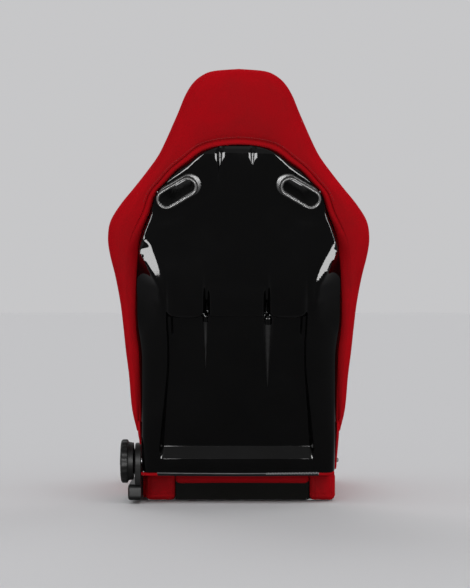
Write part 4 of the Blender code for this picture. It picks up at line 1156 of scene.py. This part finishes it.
DIAL_PROFILE = (  # outwards, radius
    (0.0000, 0.0140), (0.0010, 0.0265), (0.0030, 0.0400), (0.0120, 0.0415), (0.0142, 0.0432),
    (0.0150, 0.0462), (0.0172, 0.0474), (0.0250, 0.0474), (0.0272, 0.0466), (0.0290, 0.0440),
    (0.0300, 0.0395), (0.0290, 0.0330), (0.0268, 0.0290), (0.0262, 0.0185), (0.0286, 0.0170),
    (0.0286, 0.0140),
)
CAP_PROFILE = ((0.0, 0.0152), (0.6, 0.0156), (0.85, 0.0148), (1.0, 0.0125), (1.0, 0.0040))  # share, radius
FLUTES = 20
FLUTE_DEPTH = 0.0011


def make_dial():
    """The hand dial: a stepped disc with shallow finger flutes and a small cap."""
    low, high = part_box("recliner_dial")
    radius = (high.z - low.z) / 2
    steps = 120
    rows = []
    for out, size in DIAL_PROFILE:
        ring = []
        flute = ramp(0.0455, 0.0472, size) * FLUTE_DEPTH
        for k in range(steps):
            angle = k * math.tau / steps
            r = min(size - flute * (0.5 + 0.5 * math.cos(FLUTES * angle)), radius)
            ring.append((low.x + out, HINGE.y + r * math.cos(angle), HINGE.z + r * math.sin(angle)))
        rows.append(ring)
    piece("recliner_dial_grip", solid(rows), SATIN, "dial", ("recliner_dial",), angle=35)
    cap_low, cap_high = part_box("dial_cap")
    reach = cap_high.x - cap_low.x
    cap = [ring_across(cap_low.x + share * reach, HINGE.y, HINGE.z, size, 48) for share, size in CAP_PROFILE]
    piece("dial_centre_cap", solid(cap), TRIM, "dial", ("dial_cap",), angle=35)


def moulding(name, outline, x_low, x_high, edge, stands_for):
    """A moulded cover: an outline in y and z, with its outer edge rounded over."""
    outline = np.array(outline)
    middle = (outline.min(0) + outline.max(0)) / 2
    reach = (outline.max(0) - outline.min(0)) / 2
    rows = []
    for turn in (None, 0, 15, 30, 45, 60, 75, 90):
        if turn is None:
            inset, x = 0.0, x_low
        else:
            angle = math.radians(turn)
            inset, x = edge * (1 - math.cos(angle)), x_high - edge + edge * math.sin(angle)
        shrink = 1 - inset / reach
        rows.append([(x, *(middle + (point - middle) * shrink)) for point in outline])
    shrink = 1 - (edge * 1.9) / reach
    rows.append([(x_high, *(middle + (point - middle) * shrink)) for point in outline])
    rows.append([(x_high - 0.0010, *(middle + (point - middle) * (shrink - 0.02))) for point in outline])
    piece(name, solid(rows), SATIN, "base", (stands_for,), angle=32)


def rounded_outline(low_y, high_y, low_z, high_z, radius, steps=8):
    points = []
    corners = ((high_y, high_z, 0), (low_y, high_z, 90), (low_y, low_z, 180), (high_y, low_z, 270))
    for y, z, start in corners:
        centre_y = y - math.copysign(radius, y - (low_y + high_y) / 2)
        centre_z = z - math.copysign(radius, z - (low_z + high_z) / 2)
        for k in range(steps + 1):
            angle = math.radians(start + 90 * k / steps)
            points.append((centre_y + radius * math.cos(angle), centre_z + radius * math.sin(angle)))
    return points


def make_covers():
    """The moulded foot beside the cushion and the round-topped cover that the dial turns on."""
    low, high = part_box("recliner_lower_cover")
    outline = rounded_outline(low.y, high.y, low.z, high.z, 0.010)
    moulding("recliner_foot_moulding", outline, low.x, high.x, 0.0050, "recliner_lower_cover")
    low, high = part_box("recliner_cover")
    radius = high.z - HINGE.z
    angles = np.radians(np.linspace(-14, 142, 40))
    outline = [(HINGE.y + radius * math.cos(a), HINGE.z + radius * math.sin(a)) for a in angles]
    outline += [(low.y + 0.012, HINGE.z - 0.010), (low.y + 0.004, HINGE.z - 0.016), (low.y, HINGE.z - 0.026)]
    outline += [(low.y, low.z), (low.y + 0.055, low.z), (high.y - 0.012, low.z)]
    outline += [(high.y - 0.004, low.z + 0.016)]
    moulding("recliner_side_moulding", outline, low.x, high.x, 0.0035, "recliner_cover")


# ---------------------------------------------------------------- sewing

class Surface:
    """Finds the outside of a finished piece, to lay thread or piping on it."""

    def __init__(self, item):
        mesh = item.data
        mesh.calc_loop_triangles()
        self.tree = BVHTree.FromPolygons(
            [vertex.co for vertex in mesh.vertices], [tuple(t.vertices) for t in mesh.loop_triangles]
        )

    def seen_from(self, start, ahead):
        """Where a ray meets the piece, and the normal there turned towards the ray's start."""
        point, normal, _, _ = self.tree.ray_cast(Vector(start), Vector(ahead))
        if point is None:
            return None
        if normal.dot(Vector(ahead)) > 0:
            normal = -normal
        return np.array(point), np.array(normal)


STITCH = 0.0036
STITCH_PITCH = 0.0056


def stitch_row(form, surface, path, ahead):
    """Short threads, end to end, along a path that is carried on to the surface in the direction ahead."""
    found = [surface.seen_from(point, ahead) for point in evenly(path, STITCH_PITCH)]
    for here, there in zip(found, found[1:]):
        if here is None or there is None:
            continue
        (a, normal), (b, _) = here, there
        gap = np.linalg.norm(b - a)
        if gap > 2.5 * STITCH_PITCH:
            continue
        along = (b - a) / max(gap, 1e-9)
        rise = normal * 0.00035
        start, end = a + rise, a + along * min(STITCH, gap) + rise
        middle = (start + end) / 2 + normal * 0.00025
        form.tube([start - normal * 0.0005, start, middle, end, end - normal * 0.0005], 0.00045, 5)


def thread_pair(name, form, body):
    """The left side's threads, and the same on the right side."""
    other = Form()
    other.add(np.vstack(form.points) * (-1, 1, 1), form.faces)
    piece(name + "left", form, RED_THREAD, body, angle=80)
    piece(name + "right", other, RED_THREAD, body, angle=80)


def on_back(points):
    return [tuple(BACK @ Vector(point)) for point in points]


def sew(cushions):
    """Top-stitching in the channels and along the seams."""
    forward, down = tuple(BACK.to_3x3() @ Vector((0, 1, 0))), (0, 0, -1)
    dark = Form()
    for name in ("lower_insert", "upper_insert"):
        surface = Surface(cushions[name])
        for w in channel_lines(*CHANNELS[name][1:]):
            stitch_row(dark, surface, on_back([(-0.112, -0.2, w), (0.112, -0.2, w)]), forward)
    piece("back_insert_thread", dark, BLACK_THREAD, "backrest", angle=80)
    dark = Form()
    surface = Surface(cushions["seat_insert"])
    for y in channel_lines(*CHANNELS["seat_insert"][1:]):
        stitch_row(dark, surface, [(-0.114, y, 0.4), (0.114, y, 0.4)], down)
    piece("seat_insert_thread", dark, BLACK_THREAD, "base", angle=80)
    for name, heights in (("side_bolster", (0.085, 0.392)), ("shoulder_bolster", (0.406, 0.560))):
        surface = Surface(cushions[name])
        red = Form()
        for share in SEAM_SHARES:
            for offset in (-0.0048, 0.0048):
                path = []
                for w in np.linspace(*heights, 24):
                    width = float(outer_half(w)) - 0.129
                    path.append((BOLSTER_X + share * width + offset, -0.2, w))
                stitch_row(red, surface, on_back(path), forward)
        thread_pair(name + "_thread_", red, "backrest")
    surface = Surface(cushions["thigh_bolster"])
    red = Form()
    for offset in (-0.0046, 0.0046):
        x = THIGH_SEAM_X + offset
        stitch_row(red, surface, [(x, -0.355, 0.4), (x, 0.010, 0.4)], down)
    thread_pair("thigh_thread_", red, "base")


def sew_border(border):
    """One row of stitches beside the border's seam."""
    surface = Surface(border)
    path = []
    for outer_x, outer_w, inner_x, inner_w in stations(4):
        if inner_w < ARCH_HIGH:
            continue
        outer, inner = np.array((outer_x, outer_w)), np.array((inner_x, inner_w))
        width = np.linalg.norm(inner - outer)
        away = min(LIP_WIDTH, LIP_SHARE * width) * 1.08 + 0.0035
        x, w = inner - (inner - outer) / width * away
        path.append((x, 0.2, w))
    red = Form()
    stitch_row(red, surface, on_back(path), tuple(BACK.to_3x3() @ Vector((0, -1, 0))))
    piece("border_thread", red, RED_THREAD, "backrest", angle=80)


LINING_LOW = -0.034
LINING_HIGH = 0.715
LINING_BACK = 0.0114
LINING_THICKNESS = 0.0005


def make_lining():
    """Dark cloth stretched over the tubes behind the pads, down to the shell's low edge."""
    heights = np.linspace(LINING_LOW, LINING_HIGH, 154)
    rows = []
    for w in heights:
        half = min(float(outer_half(max(w, 0.076))) - 0.014, 0.172 if w < 0.09 else 1.0)
        n = -LINING_BACK + 0.006 * float(ramp(0.03, LINING_LOW, w))
        rows.append([(x, n, w) for x in np.linspace(-half, half, 111)])
    rows = np.array(rows)
    form = Form(rows)
    clear = SLOT_WIDTH / 2 + 0.0045
    flat = rows.reshape(-1, 3)
    near = from_slot(flat[:, 0], flat[:, 2]) < clear
    form.faces = [face for face in form.faces if not near[list(face)].any()]
    lining = piece("back_lining", form, BLACK, "backrest", (), BACK, 60)
    modifier(lining, "SOLIDIFY", thickness=LINING_THICKNESS, offset=0.0)
    apply_modifiers(lining)
    shade(lining, 60)


PIPING = (  # x and y, from the rear end on the left to the middle of the front
    (0.2070, 0.0380), (0.2085, -0.0100), (0.2110, -0.0700), (0.2150, -0.2300), (0.2185, -0.3600),
    (0.2160, -0.3780), (0.2050, -0.3870), (0.1500, -0.3890), (0.0, -0.3895),
)
PIPING_Z = 0.0628
PIPING_RADIUS = 0.0026


def make_piping():
    """A corded seam between the seat cushion and its skirts."""
    path = PIPING + tuple((-x, y) for x, y in PIPING[::-1][1:])
    form = Form()
    form.tube(catmull([(x, y, PIPING_Z) for x, y in path], 8), PIPING_RADIUS, 10)
    cord = piece("seat_piping", form, RED, "base", angle=70)


# ---------------------------------------------------------------- studio

CAMERA_DISTANCE = 4.0
CAMERA_X = 0.0076
CAMERA_Z = 0.455
FOCAL_PIXELS = 1840.0
PICTURE_HEIGHT = 588
SENSOR_HEIGHT = 24.0
FLOOR_COLOR = (0.62, 0.62, 0.63)
FLOOR_SIZE = 40.0
SKY_COLOR = (0.57, 0.57, 0.58)
SKY_LIGHT = 0.64  # the sky lights diffuse surfaces by this share of what is seen of it


def make_camera():
    data = bpy.data.cameras.new("camera")
    data.sensor_fit = "VERTICAL"
    data.sensor_height = SENSOR_HEIGHT
    data.lens = FOCAL_PIXELS / PICTURE_HEIGHT * SENSOR_HEIGHT
    data.dof.use_dof = False
    data.clip_end = 60.0
    camera = new_object("camera", data)
    camera.location = (CAMERA_X, HINGE.y + CAMERA_DISTANCE, CAMERA_Z)
    camera.rotation_euler = (math.pi / 2, 0.0, math.pi)
    bpy.context.scene.camera = camera


def make_floor():
    size = FLOOR_SIZE
    form = Form([[(-size, -size, 0.0), (size, -size, 0.0)], [(-size, size, 0.0), (size, size, 0.0)]])
    mesh = bpy.data.meshes.new("floor")
    mesh.from_pydata([tuple(p) for p in form.points[0]], [], form.faces)
    look = Look("floor", FLOOR_COLOR, 0.85, specular=0.0)
    look.set("Roughness", look.mapped(look.noise(900.0, 2.0), 0.3, 0.7, 0.8, 0.9))
    mesh.materials.append(look.material)
    floor = new_object("floor", mesh)
    floor.location.z = -0.0004


SUNS = (
    ("key", 205.0, 48.0, 0.82),
    ("fill_rear", 178.0, 10.0, 0.42),
    ("fill_left", 120.0, 35.0, 0.40),
    ("fill_front", 20.0, 42.0, 0.70),
    ("fill_right", 290.0, 35.0, 0.40),
)


def soft_sun(name, azimuth, elevation, strength):
    """Light from one side, from so wide a source that shadows are soft; azimuth 0 shines on the front."""
    data = bpy.data.lights.new(name, "SUN")
    data.energy = strength
    data.angle = math.radians(50.0)
    light = new_object(name, data)
    turn, rise = math.radians(azimuth), math.radians(elevation)
    away = Vector((math.sin(turn) * math.cos(rise), -math.cos(turn) * math.cos(rise), math.sin(rise)))
    light.rotation_euler = away.to_track_quat("Z", "Y").to_euler()


# Softboxes that the gloss mirrors: name, azimuth from the rear, distance, low and high edge, width, shine
STRIPS = (
    ("strip_rear_left", 26.0, 2.6, 0.02, 0.80, 2.00, 66.0),
    ("strip_rear_right", -24.0, 2.6, 0.02, 0.80, 1.75, 66.0),
)


def reflected_strip(name, azimuth, distance, low, high, width, shine):
    """A softbox that only shows as a highlight; azimuth 0 is behind the seat, and +90 at its left."""
    data = bpy.data.lights.new(name, "AREA")
    data.shape = "RECTANGLE"
    data.size, data.size_y = width, high - low
    data.energy = shine * math.pi * width * (high - low)
    light = new_object(name, data)
    turn = math.radians(azimuth)
    away = Vector((math.sin(turn), math.cos(turn), 0.0))
    light.location = Vector((0.0, 0.3, (low + high) / 2)) + away * distance
    light.rotation_euler = away.to_track_quat("Z", "Y").to_euler()
    light.visible_diffuse = False
    light.visible_camera = False


def make_lights():
    """Even soft light all round, and a wide softbox on each side of the camera for the shell's highlights."""
    world = bpy.data.worlds.new("studio")
    world.use_nodes = True
    bpy.context.scene.world = world
    tree = world.node_tree
    background = tree.nodes["Background"]
    background.inputs["Color"].default_value = (*SKY_COLOR, 1.0)
    paths = node(tree, "ShaderNodeLightPath", {})
    seen = paths["Is Camera Ray"]
    for ray in ("Is Glossy Ray", "Is Transmission Ray"):
        seen = node(tree, "ShaderNodeMath", {0: seen, 1: paths[ray]}, operation="MAXIMUM")[0]
    strength = node(tree, "ShaderNodeMapRange", {"Value": seen, "To Min": SKY_LIGHT, "To Max": 1.0})[0]
    tree.links.new(strength, background.inputs["Strength"])
    for sun in SUNS:
        soft_sun(*sun)
    for strip in STRIPS:
        reflected_strip(*strip)


def dress_cad():
    """Better finishes for the CAD nodes that stay in view."""
    finishes = {
        "red_cloth": RED,
        "black_cloth": BLACK,
        "gloss_black": GLOSS,
        "satin_black": SATIN,
        "grey_trim": TRIM,
        "frame_paint": PAINT,
        "steel": STEEL,
    }
    slots = {part["node"]: part["material_slot"] for part in frame["record"]["subparts"]}
    for name, item in frame["nodes"].items():
        for place in range(len(item.material_slots)):
            item.material_slots[place].material = finishes[slots[name]]


dress_cad()
border = make_wrap()
sew_border(border)
make_shell()
make_fin_faces()
make_bezels()
sew(make_cushions())
make_lining()
make_piping()
make_rear_end()
make_trim()
make_border_tails()
make_dial()
make_covers()
make_camera()
make_floor()
make_lights()
bpy.context.scene.view_settings.view_transform = "Standard"
